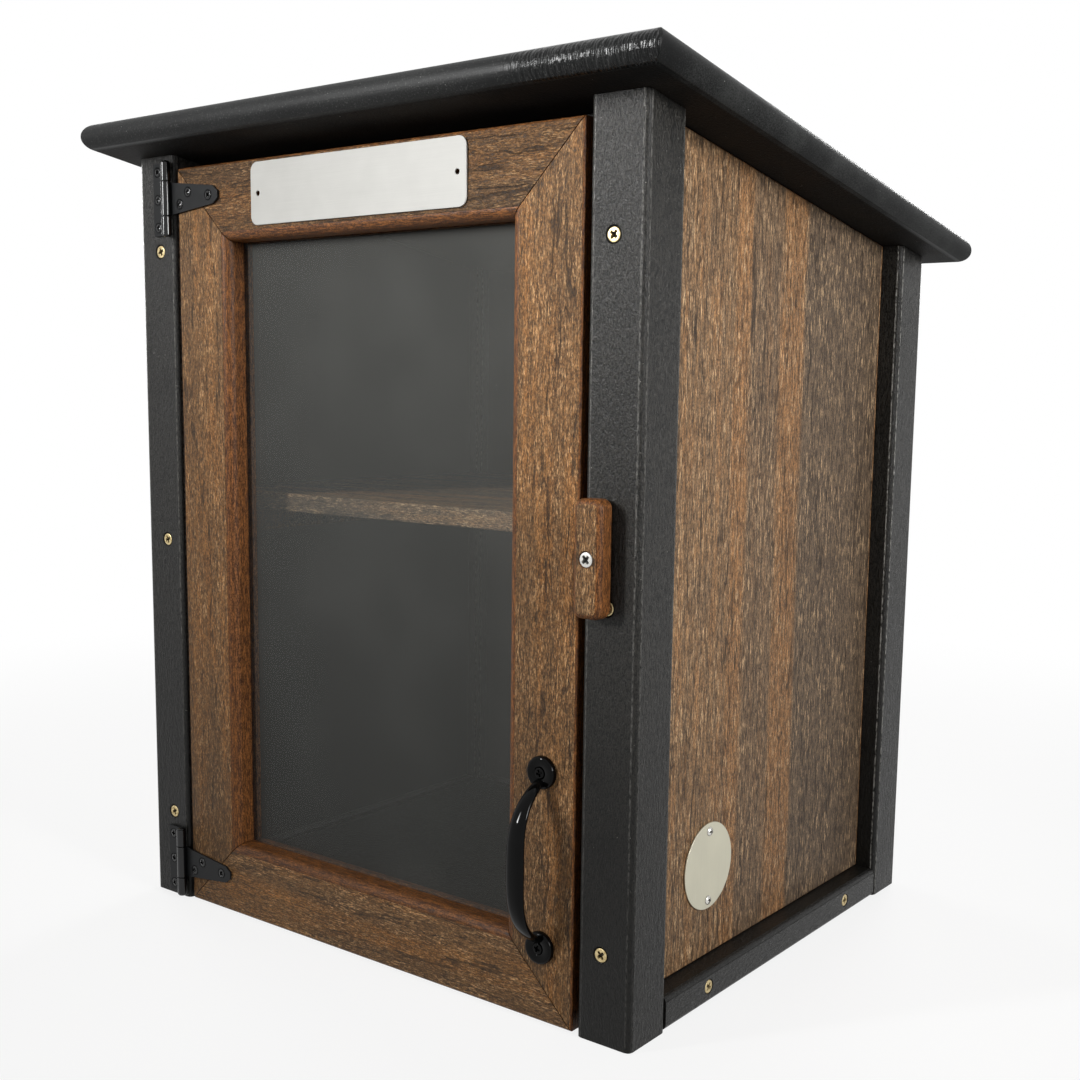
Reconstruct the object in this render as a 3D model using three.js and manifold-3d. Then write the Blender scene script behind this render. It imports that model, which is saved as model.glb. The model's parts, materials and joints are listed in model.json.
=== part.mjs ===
// Street book exchange box: a small cabinet with a sloping roof, two shelves' worth of room,
// a framed window door on two T hinges, a pull handle and a wooden turn button.
// Millimetres, +Z up, the door faces -Y. The box stands on the plane z = 0.

import * as THREE from 'three';
import { mergeVertices } from 'three/addons/utils/BufferGeometryUtils.js';
import Module from 'manifold-3d';

// Driving dimensions of the cabinet
const width = 432;
const depth = 366.5;
const frontHeight = 535.5;
const roofSlopeShare = 0.16;
const seat = 0.3;

// Corner posts
const postSize = 38.1;
const postEdge = 3.2;

// Bottom rails between the posts
const railHeight = 21;

// Side and back panels, set in from the outer faces of the posts
const panelThickness = 12.7;
const panelInset = 14.6;

// Floor board and the board over the door
const floorThickness = 19;
const headerThickness = 12.7;
const headerHeight = 38.1;

// Shelf and the cleats that carry it
const shelfThickness = 12.7;
const shelfHeightShare = 0.5653;
const cleatSize = 19;
const cleatEndGap = 18;

// Roof board with a fully rounded edge
const roofThickness = 19;
const roofFrontOverhang = 31.2;
const roofRearOverhang = 24.3;
const roofSideOverhang = 26;

// Door frame: four mitred members with a rounded inner edge and a groove for the pane
const doorGap = 3.5;
const doorBottom = 1;
const doorTopGap = 10;
const doorThickness = 22;
const doorStopGap = 2.5;
const memberWidth = 51.5;
const memberEdge = 2;
const memberRoundover = 6.35;
const grooveSetback = 14.5;
const grooveDepth = 7;
const paneThickness = 3;
const paneEdgeGap = 1;

// T hinges
const hingeAxisInset = 4.1;
const hingeUpperInset = 20.2;
const hingeLowerInset = 27;
const barrelRadius = 3.5;
const barrelHeight = 49.4;
const knuckleHeight = 23.5;
const knuckleGap = 0.5;
const pinRadius = 1.6;
const pinClearance = 0.35;
const pinHeadRadius = 2.9;
const pinHeadHeight = 0.9;
const hingePlate = 1.5;
const leafReach = 16.4;
const strapRootHeight = 22.6;
const strapShoulderReach = 47;
const strapShoulderHeight = 12;
const strapReach = 51.9;
const strapTipHeight = 4.6;
const leafScrewReach = 11.5;
const leafScrewPitch = 19;
const strapScrews = [
  { reach: 12.1, rise: -4.3 },
  { reach: 21, rise: 3.4 },
  { reach: 42.2, rise: 0 },
];

// Pull handle
const handleInset = 23;
const handleRise = 100.9;
const handlePitch = 107.4;
const handleFootRadius = 10;
const handleFootThickness = 4.2;
const handleFootEdge = 1.6;
const handleReach = 25.8;
const handleMidWidth = 13;
const handleEndWidth = 6.6;
const handleMidThickness = 5.8;
const handleEndThickness = 4.4;
const handleRootInset = 5.5;
const handleRootReach = 2.6;
const handleShoulder = 3.5;
const handleSpring = 0.85;

// Turn button: upright here, which is its open position
const buttonLength = 67;
const buttonHeight = 19;
const buttonThickness = 13.4;
const buttonEdge = 3.6;
const buttonGap = 0.6;
const buttonPivotInset = 26.5;
const buttonPivotShare = 0.5328;

// Bare plates on the door and on the right side panel
const plateThickness = 1;
const signWidth = 187.4;
const signHeight = 40.5;
const signCorner = 6;
const signOffset = -3;
const signDrop = 22.8;
const signHoleRadius = 1.7;
const signHoleInset = 7;
const badgeRadius = 28;
const badgeBack = 105.9;
const badgeHeight = 81.1;
const badgeScrewPitch = 45;

// Screws: head radius, head height, shank radius and length under the top of the head
const frameScrew = { head: 4.2, rise: 2.6, shank: 2, length: 50 };
const hingeScrew = { head: 2.9, rise: 1.5, shank: 1.4, length: 12.5 };
const handleScrew = { head: 3.3, rise: 2, shank: 1.8, length: 18 };
const pivotScrew = { head: 4.3, rise: 2.7, shank: 2.2, length: 38 };
const badgeScrew = { head: 3, rise: 1.6, shank: 1.3, length: 9 };
const screwClearance = 0.3;
const pivotClearance = 0.45;
const frameScrewSink = 0.2;
const postScrewInset = 21.5;
const postScrewLeftShares = [0.118, 0.498, 0.878];
const postScrewRightShares = [0.101, 0.48, 0.861];
const railScrewHeight = 10.8;
const railScrewShares = [0.171, 0.832];

// How finely round shapes are cut
const overrun = 5;
const arcSteps = 3;
const roundSides = 12;
const barrelSides = 20;
const bullnoseSteps = 12;
const handleSteps = 18;
const handleSides = 12;

// Planes and angles worked out from the driving dimensions
const halfWidth = width / 2;
const openingHalf = halfWidth - postSize;
const roofAngle = Math.atan(roofSlopeShare);
const sidePlane = halfWidth - panelInset;
const rearPlane = depth - panelInset;
const doorHalf = openingHalf - doorGap;
const doorTop = frontHeight - doorTopGap;
const doorHeight = doorTop - doorBottom;
const shelfTop = shelfHeightShare * frontHeight;
const handleHeight = doorBottom + handleRise;
const buttonPivotHeight = buttonPivotShare * frontHeight;
const floorFront = doorThickness + doorStopGap;
const hingeX = -openingHalf - hingeAxisInset;
const hingeY = -seat - barrelRadius;
const turnQuarter = Math.PI / 2;

const wasm = await Module();
wasm.setup();

// Materials
const blackBoard = new THREE.MeshStandardMaterial({ color: 0x2b2b29, roughness: 0.62 });
const brownBoard = new THREE.MeshStandardMaterial({ color: 0x6a4a31, roughness: 0.58 });
const clearSheet = new THREE.MeshStandardMaterial({
  color: 0xdfe6e6, roughness: 0.05, transparent: true, opacity: 0.3,
});
const blackSteel = new THREE.MeshStandardMaterial({ color: 0x1c1c1c, roughness: 0.4, metalness: 0.4 });
const glossBlack = new THREE.MeshStandardMaterial({ color: 0x0c0c0c, roughness: 0.12, metalness: 0.3 });
const brass = new THREE.MeshStandardMaterial({ color: 0xc8ac6c, roughness: 0.35, metalness: 0.9 });
const zinc = new THREE.MeshStandardMaterial({ color: 0xc9c9c6, roughness: 0.3, metalness: 0.9 });
const plateMetal = new THREE.MeshStandardMaterial({ color: 0xcfccc4, roughness: 0.4, metalness: 0.7 });

// A closed geometry as a solid: shared corners merged, collapsed triangles dropped
function toSolid(geometry) {
  const bare = geometry.clone();
  bare.deleteAttribute('normal');
  bare.deleteAttribute('uv');
  const merged = mergeVertices(bare);
  const index = merged.index.array;
  const kept = [];
  for (let i = 0; i < index.length; i += 3) {
    const [a, b, c] = [index[i], index[i + 1], index[i + 2]];
    if (a !== b && b !== c && c !== a) kept.push(a, b, c);
  }
  return new wasm.Manifold(new wasm.Mesh({
    numProp: 3,
    vertProperties: new Float32Array(merged.attributes.position.array),
    triVerts: new Uint32Array(kept),
  }));
}

function toGeometry(solid) {
  const mesh = solid.getMesh();
  const geometry = new THREE.BufferGeometry();
  geometry.setAttribute('position', new THREE.BufferAttribute(new Float32Array(mesh.vertProperties), 3));
  geometry.setIndex(new THREE.BufferAttribute(new Uint32Array(mesh.triVerts), 1));
  return geometry;
}

function joined(...geometries) {
  return toGeometry(geometries.map(toSolid).reduce((whole, next) => whole.add(next)));
}

function piece(name, geometry, material, x = 0, y = 0, z = 0) {
  const mesh = new THREE.Mesh(geometry, material);
  mesh.name = name;
  mesh.position.set(x, y, z);
  return mesh;
}

// Takes tools, given in the box's own frame, out of a placed piece
function drill(mesh, tools) {
  mesh.updateMatrix();
  const inverse = mesh.matrix.clone().invert();
  let solid = toSolid(mesh.geometry);
  for (const tool of tools) solid = solid.subtract(toSolid(tool.clone().applyMatrix4(inverse)));
  mesh.geometry = toGeometry(solid);
}

// A block given by its low and high corners
function block(low, high) {
  const size = high.map((value, axis) => value - low[axis]);
  const middle = high.map((value, axis) => (value + low[axis]) / 2);
  return new THREE.BoxGeometry(...size).translate(...middle);
}

// Height of the roof's underside, less the seat, at a distance y behind the front face
function underRoof(y) {
  return frontHeight - roofSlopeShare * y - seat / Math.cos(roofAngle);
}

// A block whose top follows the roof
function slopedBlock(low, high) {
  const geometry = block([low[0], low[1], low[2]], [high[0], high[1], frontHeight]);
  return followRoof(geometry, (low[2] + frontHeight) / 2);
}

function followRoof(geometry, middle, yShift = 0) {
  const position = geometry.attributes.position;
  for (let i = 0; i < position.count; i += 1) {
    if (position.getZ(i) > middle) position.setZ(i, underRoof(position.getY(i) + yShift));
  }
  return geometry;
}

function extruded(shape, length) {
  return new THREE.ExtrudeGeometry(shape, { depth: length, bevelEnabled: false, curveSegments: arcSteps });
}

// Lays an (x, z) outline extruded by its thickness so that its back is at y = 0
function upright(geometry) {
  return geometry.rotateX(turnQuarter);
}

function polygon(points) {
  return new THREE.Shape(points.map(([x, y]) => new THREE.Vector2(x, y)));
}

function roundedRectangle(halfX, halfY, radius) {
  const shape = new THREE.Shape();
  shape.moveTo(-halfX + radius, -halfY);
  shape.lineTo(halfX - radius, -halfY);
  shape.absarc(halfX - radius, -halfY + radius, radius, -turnQuarter, 0, false);
  shape.absarc(halfX - radius, halfY - radius, radius, 0, turnQuarter, false);
  shape.absarc(-halfX + radius, halfY - radius, radius, turnQuarter, 2 * turnQuarter, false);
  shape.absarc(-halfX + radius, -halfY + radius, radius, 2 * turnQuarter, 3 * turnQuarter, false);
  return shape;
}

// Turns a profile of (radius, y) points about the Y axis; y rises along the profile
function turned(points, sides = roundSides) {
  const profile = points.map(([radius, y]) => new THREE.Vector2(radius, y));
  return toGeometry(toSolid(new THREE.LatheGeometry(profile, sides)));
}

// Closed skin over rings that turn counter-clockwise about their direction of travel
function loft(rings) {
  const sides = rings[0].length;
  const index = [];
  const cell = (ring, side) => ring * sides + (side % sides);
  for (let i = 0; i + 1 < rings.length; i += 1) {
    for (let j = 0; j < sides; j += 1) {
      const [a, b, c, d] = [cell(i, j), cell(i, j + 1), cell(i + 1, j), cell(i + 1, j + 1)];
      index.push(a, b, c, b, d, c);
    }
  }
  const last = rings.length - 1;
  for (let j = 1; j + 1 < sides; j += 1) {
    index.push(cell(0, 0), cell(0, j + 1), cell(0, j));
    index.push(cell(last, 0), cell(last, j), cell(last, j + 1));
  }
  const geometry = new THREE.BufferGeometry();
  geometry.setFromPoints(rings.flat());
  geometry.setIndex(index);
  return geometry;
}

// A countersunk screw that runs along +Y from the top of its head at y = 0
function flatScrew({ head, rise, shank, length }) {
  return turned([[0, 0], [head, 0], [shank, rise], [shank, length - shank], [0, length]]);
}

// A screw with a domed head that stands on y = 0, its shank along +Y
function domedScrew({ head, rise, shank, length }) {
  const dome = [[0, -rise], [head * Math.SQRT1_2, -rise * Math.SQRT1_2], [head, 0]];
  return turned([...dome, [shank, 0], [shank, length - shank], [0, length]]);
}

// The hole that lets such a screw in with room all round
function screwHole({ head, rise, shank, length }, clearance = screwClearance) {
  return turned([
    [0, -overrun], [head + clearance, -overrun], [head + clearance, 0],
    [shank + clearance, rise], [shank + clearance, length + clearance], [0, length + clearance],
  ]);
}

function plainHole({ shank, length }, clearance = screwClearance) {
  return turned([
    [0, -overrun], [shank + clearance, -overrun],
    [shank + clearance, length + clearance], [0, length + clearance],
  ]);
}

// Makes one screw and its hole at a place, facing front (+Y in) or turned about Z by an angle
function screwAt(name, make, makeHole, material, place, angle = 0) {
  const [x, y, z] = place;
  const mesh = piece(name, make, material, x, y, z);
  mesh.rotation.z = angle;
  const hole = makeHole.clone().rotateZ(angle).translate(x, y, z);
  return { mesh, hole };
}

const box = new THREE.Group();
const cabinet = new THREE.Group();
const door = new THREE.Group();
box.add(cabinet, door);

// Corner posts: eased square bars with tops cut to the slope of the roof
function makePost(name, side, y) {
  const section = roundedRectangle(postSize / 2, postSize / 2, postEdge);
  const bar = followRoof(extruded(section, frontHeight), frontHeight / 2, y);
  return piece(name, bar, blackBoard, side * (halfWidth - postSize / 2), y, 0);
}

const frontPostY = postSize / 2;
const rearPostY = depth - postSize / 2;
const postFrontLeft = makePost('post_front_left', -1, frontPostY);
const postFrontRight = makePost('post_front_right', 1, frontPostY);
const postRearLeft = makePost('post_rear_left', -1, rearPostY);
const postRearRight = makePost('post_rear_right', 1, rearPostY);

// Bottom rails, flush with the outer faces of the posts
const betweenFront = postSize + seat;
const betweenRear = depth - postSize - seat;
function makeSideRail(name, side) {
  const long = betweenRear - betweenFront;
  const bar = extruded(roundedRectangle(postSize / 2, railHeight / 2, postEdge), long);
  const x = side * (halfWidth - postSize / 2);
  return piece(name, bar.rotateX(turnQuarter), blackBoard, x, betweenRear, railHeight / 2);
}

const sideRailLeft = makeSideRail('side_rail_left', -1);
const sideRailRight = makeSideRail('side_rail_right', 1);
const rearRail = piece('rear_rail', block(
  [-openingHalf + seat, depth - postSize, 0],
  [openingHalf - seat, depth, railHeight],
), blackBoard);

// Panels let in behind the outer faces of the frame, up to the roof
function makeSidePanel(name, side) {
  const faces = [side * sidePlane, side * (sidePlane - panelThickness)].sort((a, b) => a - b);
  return piece(name, slopedBlock(
    [faces[0], betweenFront, railHeight + seat],
    [faces[1], betweenRear, frontHeight],
  ), brownBoard);
}

const sidePanelLeft = makeSidePanel('side_panel_left', -1);
const sidePanelRight = makeSidePanel('side_panel_right', 1);
const backPanel = piece('back_panel', slopedBlock(
  [-openingHalf + seat, rearPlane - panelThickness, railHeight + seat],
  [openingHalf - seat, rearPlane, frontHeight],
), brownBoard);

// Floor board between the rails, which also stops the door, and the header over the door
const floorPanel = piece('floor_panel', block(
  [-openingHalf + seat, floorFront, 0],
  [openingHalf - seat, betweenRear, floorThickness],
), blackBoard);
const frontHeader = piece('front_header', slopedBlock(
  [-openingHalf + seat, floorFront, underRoof(floorFront) - headerHeight],
  [openingHalf - seat, floorFront + headerThickness, frontHeight],
), blackBoard);

// Shelf on two cleats between the side panels
const innerSide = sidePlane - panelThickness - seat;
const shelf = piece('shelf', block(
  [-innerSide, betweenFront, shelfTop - shelfThickness],
  [innerSide, betweenRear, shelfTop],
), brownBoard);
function makeCleat(name, side) {
  const faces = [side * innerSide, side * (innerSide - cleatSize)].sort((a, b) => a - b);
  const top = shelfTop - shelfThickness - seat;
  return piece(name, block(
    [faces[0], betweenFront + cleatEndGap, top - cleatSize],
    [faces[1], betweenRear - cleatEndGap, top],
  ), brownBoard);
}

const cleatLeft = makeCleat('shelf_cleat_left', -1);
const cleatRight = makeCleat('shelf_cleat_right', 1);

// Roof board: one rectangle after another, drawn in along a half circle, with mitre-like corners
function makeRoof() {
  const radius = roofThickness / 2;
  const halfX = halfWidth + roofSideOverhang;
  const front = -roofFrontOverhang;
  const back = depth / Math.cos(roofAngle) + roofRearOverhang;
  const rings = [];
  for (let i = 0; i <= bullnoseSteps; i += 1) {
    const angle = -turnQuarter + (2 * turnQuarter * i) / bullnoseSteps;
    const inset = radius * (1 - Math.cos(angle));
    const level = radius * (1 + Math.sin(angle));
    rings.push([
      new THREE.Vector3(-halfX + inset, front + inset, level),
      new THREE.Vector3(halfX - inset, front + inset, level),
      new THREE.Vector3(halfX - inset, back - inset, level),
      new THREE.Vector3(-halfX + inset, back - inset, level),
    ]);
  }
  const mesh = piece('roof_board', loft(rings), blackBoard, 0, 0, frontHeight);
  mesh.rotation.x = -roofAngle;
  return mesh;
}

const roofBoard = makeRoof();
cabinet.add(postFrontLeft, postFrontRight, postRearLeft, postRearRight);
cabinet.add(sideRailLeft, sideRailRight, rearRail, sidePanelLeft, sidePanelRight, backPanel);
cabinet.add(floorPanel, frontHeader, shelf, cleatLeft, cleatRight, roofBoard);

// Door members share one section: x runs in from the outer edge, y back from the face
function memberSection() {
  const back = doorThickness;
  const grooveBack = grooveSetback + paneThickness + 2 * seat;
  const shape = new THREE.Shape();
  shape.moveTo(memberEdge, 0);
  shape.lineTo(memberWidth - memberRoundover, 0);
  shape.absarc(memberWidth - memberRoundover, memberRoundover, memberRoundover, -turnQuarter, 0, false);
  shape.lineTo(memberWidth, grooveSetback);
  shape.lineTo(memberWidth - grooveDepth, grooveSetback);
  shape.lineTo(memberWidth - grooveDepth, grooveBack);
  shape.lineTo(memberWidth, grooveBack);
  shape.lineTo(memberWidth, back);
  shape.lineTo(memberEdge, back);
  shape.absarc(memberEdge, back - memberEdge, memberEdge, turnQuarter, 2 * turnQuarter, false);
  shape.absarc(memberEdge, memberEdge, memberEdge, 2 * turnQuarter, 3 * turnQuarter, false);
  return shape;
}

// Both ends are cut back by the distance in from the outer edge, which gives the mitres
function makeMember(name, length, corner, inward, along) {
  const bar = extruded(memberSection(), length);
  const position = bar.attributes.position;
  for (let i = 0; i < position.count; i += 1) {
    const cut = position.getX(i) + seat / 2;
    position.setZ(i, position.getZ(i) < length / 2 ? cut : length - cut);
  }
  const mesh = piece(name, bar, brownBoard, ...corner);
  const basis = new THREE.Matrix4().makeBasis(inward, new THREE.Vector3(0, 1, 0), along);
  mesh.quaternion.setFromRotationMatrix(basis);
  return mesh;
}

const right = new THREE.Vector3(1, 0, 0);
const up = new THREE.Vector3(0, 0, 1);
const left = right.clone().negate();
const down = up.clone().negate();
const stileHinge = makeMember('door_stile_hinge', doorHeight, [-doorHalf, 0, doorBottom], right, up);
const stileLatch = makeMember('door_stile_latch', doorHeight, [doorHalf, 0, doorTop], left, down);
const railTop = makeMember('door_rail_top', 2 * doorHalf, [-doorHalf, 0, doorTop], down, right);
const railBottom = makeMember('door_rail_bottom', 2 * doorHalf, [doorHalf, 0, doorBottom], up, left);

const paneHalf = doorHalf - memberWidth + grooveDepth - paneEdgeGap;
const paneInset = memberWidth - grooveDepth + paneEdgeGap;
const pane = piece('door_pane', block(
  [-paneHalf, grooveSetback + seat, doorBottom + paneInset],
  [paneHalf, grooveSetback + seat + paneThickness, doorTop - paneInset],
), clearSheet);
door.add(stileHinge, stileLatch, railTop, railBottom, pane);

// Hinge parts are drawn about the pin's axis, with x out over the door and z up
function knuckle(low, high) {
  return new THREE.CylinderGeometry(barrelRadius, barrelRadius, high - low, barrelSides)
    .rotateX(turnQuarter).translate(0, 0, (low + high) / 2);
}

function pinBore() {
  const radius = pinRadius + pinClearance;
  return new THREE.CylinderGeometry(radius, radius, barrelHeight + overrun, barrelSides).rotateX(turnQuarter);
}

function hingePlateFrom(points) {
  return upright(extruded(polygon(points), hingePlate)).translate(0, barrelRadius, 0);
}

function makeStrap(name, z) {
  const half = (knuckleHeight - knuckleGap) / 2;
  const plate = hingePlateFrom([
    [0, -strapRootHeight / 2],
    [strapShoulderReach, -strapShoulderHeight / 2],
    [strapReach, -strapTipHeight / 2],
    [strapReach, strapTipHeight / 2],
    [strapShoulderReach, strapShoulderHeight / 2],
    [0, strapRootHeight / 2],
  ]);
  const body = toSolid(plate).add(toSolid(knuckle(-half, half))).subtract(toSolid(pinBore()));
  return piece(name, toGeometry(body), blackSteel, hingeX, hingeY, z);
}

function makeLeaf(name, z) {
  const notch = (knuckleHeight + knuckleGap) / 2;
  const clear = barrelRadius + knuckleGap;
  const half = barrelHeight / 2;
  const plate = hingePlateFrom([
    [-leafReach, -half], [0, -half], [0, -notch], [-clear, -notch],
    [-clear, notch], [0, notch], [0, half], [-leafReach, half],
  ]);
  const body = toSolid(plate)
    .add(toSolid(knuckle(-half, -notch)))
    .add(toSolid(knuckle(notch, half)))
    .subtract(toSolid(pinBore()));
  return piece(name, toGeometry(body), blackSteel, hingeX, hingeY, z);
}

// The pin is headed at both ends, just clear of the barrel
function makePin(name, z) {
  const half = barrelHeight / 2 + seat;
  const tip = pinHeadRadius * Math.SQRT1_2;
  const head = (end) => [[pinHeadRadius, end], [tip, end + pinHeadHeight * Math.SQRT1_2]];
  const top = [...head(half), [0, half + pinHeadHeight]];
  const bottom = top.map(([radius, y]) => [radius, -y]).reverse();
  const pin = turned([...bottom, [pinRadius, -half], [pinRadius, half], ...top], barrelSides);
  return piece(name, pin.rotateX(turnQuarter), blackSteel, hingeX, hingeY, z);
}

const hingePlateFace = -seat - hingePlate;
for (const [end, z] of [['upper', doorTop - hingeUpperInset], ['lower', doorBottom + hingeLowerInset]]) {
  const leaf = makeLeaf(`hinge_leaf_${end}`, z);
  const strap = makeStrap(`hinge_strap_${end}`, z);
  const shape = flatScrew(hingeScrew);
  const hole = screwHole(hingeScrew);
  const leafSet = [-1, 0, 1].map((row, i) => screwAt(`leaf_screw_${end}_${i + 1}`, shape, hole, blackSteel,
    [hingeX - leafScrewReach, hingePlateFace, z + row * leafScrewPitch]));
  const strapSet = strapScrews.map(({ reach, rise }, i) => screwAt(`strap_screw_${end}_${i + 1}`, shape, hole,
    blackSteel, [hingeX + reach, hingePlateFace, z + rise]));
  for (const target of [leaf, postFrontLeft]) drill(target, leafSet.map((screw) => screw.hole));
  for (const target of [strap, stileHinge, end === 'upper' ? railTop : railBottom]) {
    drill(target, strapSet.map((screw) => screw.hole));
  }
  cabinet.add(leaf, makePin(`hinge_pin_${end}`, z), ...leafSet.map((screw) => screw.mesh));
  door.add(strap, ...strapSet.map((screw) => screw.mesh));
}

// Pull handle: two round feet joined by a bar that swells towards the middle of its bow.
// With the rise as a share s of half the span, the bow stands out by (1 - |s|^shoulder)^spring.
function handleBar() {
  const half = handlePitch / 2 - handleRootInset;
  const path = new THREE.CatmullRomCurve3(Array.from({ length: handleSteps + 1 }, (_, i) => {
    const share = Math.sin(((2 * i) / handleSteps - 1) * turnQuarter);
    const reach = (1 - Math.abs(share) ** handleShoulder) ** handleSpring;
    return new THREE.Vector3(0, -handleRootReach - reach * (handleReach - handleRootReach), half * share);
  }));
  const rings = [];
  for (let i = 0; i <= handleSteps; i += 1) {
    const along = i / handleSteps;
    const centre = path.getPointAt(along);
    const travel = path.getTangentAt(along);
    const normal = travel.clone().cross(right);
    const swell = Math.sin(Math.PI * along);
    const a = (handleEndWidth + (handleMidWidth - handleEndWidth) * swell) / 2;
    const b = (handleEndThickness + (handleMidThickness - handleEndThickness) * swell) / 2;
    rings.push(Array.from({ length: handleSides }, (_, j) => {
      const angle = (4 * turnQuarter * j) / handleSides;
      return centre.clone()
        .addScaledVector(right, a * Math.cos(angle))
        .addScaledVector(normal, b * Math.sin(angle));
    }));
  }
  return loft(rings);
}

function handleFoot(z) {
  return turned([
    [0, -handleFootThickness],
    [handleFootRadius - handleFootEdge, -handleFootThickness],
    [handleFootRadius, -handleFootThickness + handleFootEdge],
    [handleFootRadius, -seat],
    [0, -seat],
  ], barrelSides).translate(0, 0, z);
}

const handleX = doorHalf - handleInset;
const pullHandle = piece('pull_handle', joined(
  handleBar(), handleFoot(handlePitch / 2), handleFoot(-handlePitch / 2),
), glossBlack, handleX, 0, handleHeight);
const handleScrewSet = [['upper', 1], ['lower', -1]].map(([end, side]) => screwAt(
  `handle_screw_${end}`, flatScrew(handleScrew), screwHole(handleScrew), glossBlack,
  [handleX, -handleFootThickness, handleHeight + (side * handlePitch) / 2],
));
for (const target of [pullHandle, stileLatch]) drill(target, handleScrewSet.map((screw) => screw.hole));
door.add(pullHandle, ...handleScrewSet.map((screw) => screw.mesh));

// Turn button on the right front post, turned upright so that the door is free
const buttonX = halfWidth - buttonPivotInset;
const buttonFace = -buttonGap - buttonThickness;
function makeButton() {
  const halfX = buttonHeight / 2 - buttonEdge;
  const halfZ = buttonLength / 2 - buttonEdge;
  const outline = roundedRectangle(halfX, halfZ, buttonEdge / 2);
  const bar = new THREE.ExtrudeGeometry(outline, {
    depth: buttonThickness - 2 * buttonEdge,
    bevelThickness: buttonEdge,
    bevelSize: buttonEdge,
    bevelSegments: arcSteps,
    curveSegments: arcSteps,
  });
  upright(bar).translate(0, -buttonGap - buttonEdge, 0);
  return piece('turn_button', toGeometry(toSolid(bar)), brownBoard, buttonX, 0, buttonPivotHeight);
}

const turnButton = makeButton();
const buttonScrew = screwAt('turn_button_screw', flatScrew(pivotScrew), screwHole(pivotScrew, pivotClearance),
  zinc, [buttonX, buttonFace, buttonPivotHeight]);
for (const target of [turnButton, postFrontRight]) drill(target, [buttonScrew.hole]);
box.add(turnButton);
cabinet.add(buttonScrew.mesh);

// Bare sign plate on the top rail of the door
const signOutline = roundedRectangle(signWidth / 2, signHeight / 2, signCorner);
for (const side of [-1, 1]) {
  const eye = new THREE.Path();
  eye.absarc(side * (signWidth / 2 - signHoleInset), 0, signHoleRadius, 0, 4 * turnQuarter, true);
  signOutline.holes.push(eye);
}
door.add(piece('sign_plate', upright(extruded(signOutline, plateThickness)),
  plateMetal, signOffset, -seat, doorTop - signDrop));

// Bare round plate on the right side panel, held by two domed screws
const badgeFace = sidePlane + seat + plateThickness;
const badge = piece('badge_plate',
  new THREE.CylinderGeometry(badgeRadius, badgeRadius, plateThickness, 2 * barrelSides)
    .rotateZ(turnQuarter).translate(plateThickness / 2, 0, 0),
  plateMetal, sidePlane + seat, badgeBack, badgeHeight);
const badgeScrewSet = [['upper', 1], ['lower', -1]].map(([end, side]) => screwAt(
  `badge_screw_${end}`, domedScrew(badgeScrew), plainHole(badgeScrew), zinc,
  [badgeFace + seat, badgeBack, badgeHeight + (side * badgeScrewPitch) / 2], turnQuarter,
));
for (const target of [badge, sidePanelRight]) drill(target, badgeScrewSet.map((screw) => screw.hole));
cabinet.add(badge, ...badgeScrewSet.map((screw) => screw.mesh));

// Brass screws through the front posts into the panels, and through the rails into the floor
function addFrameScrews(names, places, angle, targets) {
  const set = places.map((place, i) => screwAt(names(i + 1), flatScrew(frameScrew), screwHole(frameScrew),
    brass, place, angle));
  for (const target of targets) drill(target, set.map((screw) => screw.hole));
  cabinet.add(...set.map((screw) => screw.mesh));
}

const sides = [
  { side: -1, name: 'left', post: postFrontLeft, panel: sidePanelLeft, rail: sideRailLeft },
  { side: 1, name: 'right', post: postFrontRight, panel: sidePanelRight, rail: sideRailRight },
];
for (const { side, name, post, panel, rail } of sides) {
  const shares = side < 0 ? postScrewLeftShares : postScrewRightShares;
  const onPost = shares.map((share) => [
    side * (halfWidth - postScrewInset), frameScrewSink, share * frontHeight,
  ]);
  addFrameScrews((n) => `post_screw_${name}_${n}`, onPost, 0, [post, panel]);
  const railLength = betweenRear - betweenFront;
  const onRail = railScrewShares.map((share) => [
    side * (halfWidth - frameScrewSink), betweenFront + share * railLength, railScrewHeight,
  ]);
  addFrameScrews((n) => `rail_screw_${name}_${n}`, onRail, side * turnQuarter, [rail, floorPanel]);
}

// The origin lies under the middle of the whole box, on the plane that it stands on
box.updateMatrixWorld(true);
const bounds = new THREE.Box3().setFromObject(box, true);
box.position.y = -(bounds.min.y + bounds.max.y) / 2;

export default box;
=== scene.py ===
# %% [markdown]
# # A book exchange box for the street
# The box is a small cabinet: four black corner posts, brown panels let in between them, a sloping
# black roof and a glazed door with black fittings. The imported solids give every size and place.
# This notebook dresses them: it rebuilds the pieces whose curves show, and gives every surface
# the grain, sheen and wear of the real one.

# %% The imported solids, and the helpers from Blender
import json
import math

import bmesh
import bpy
import numpy as np
from mathutils import Matrix, Vector


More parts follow.
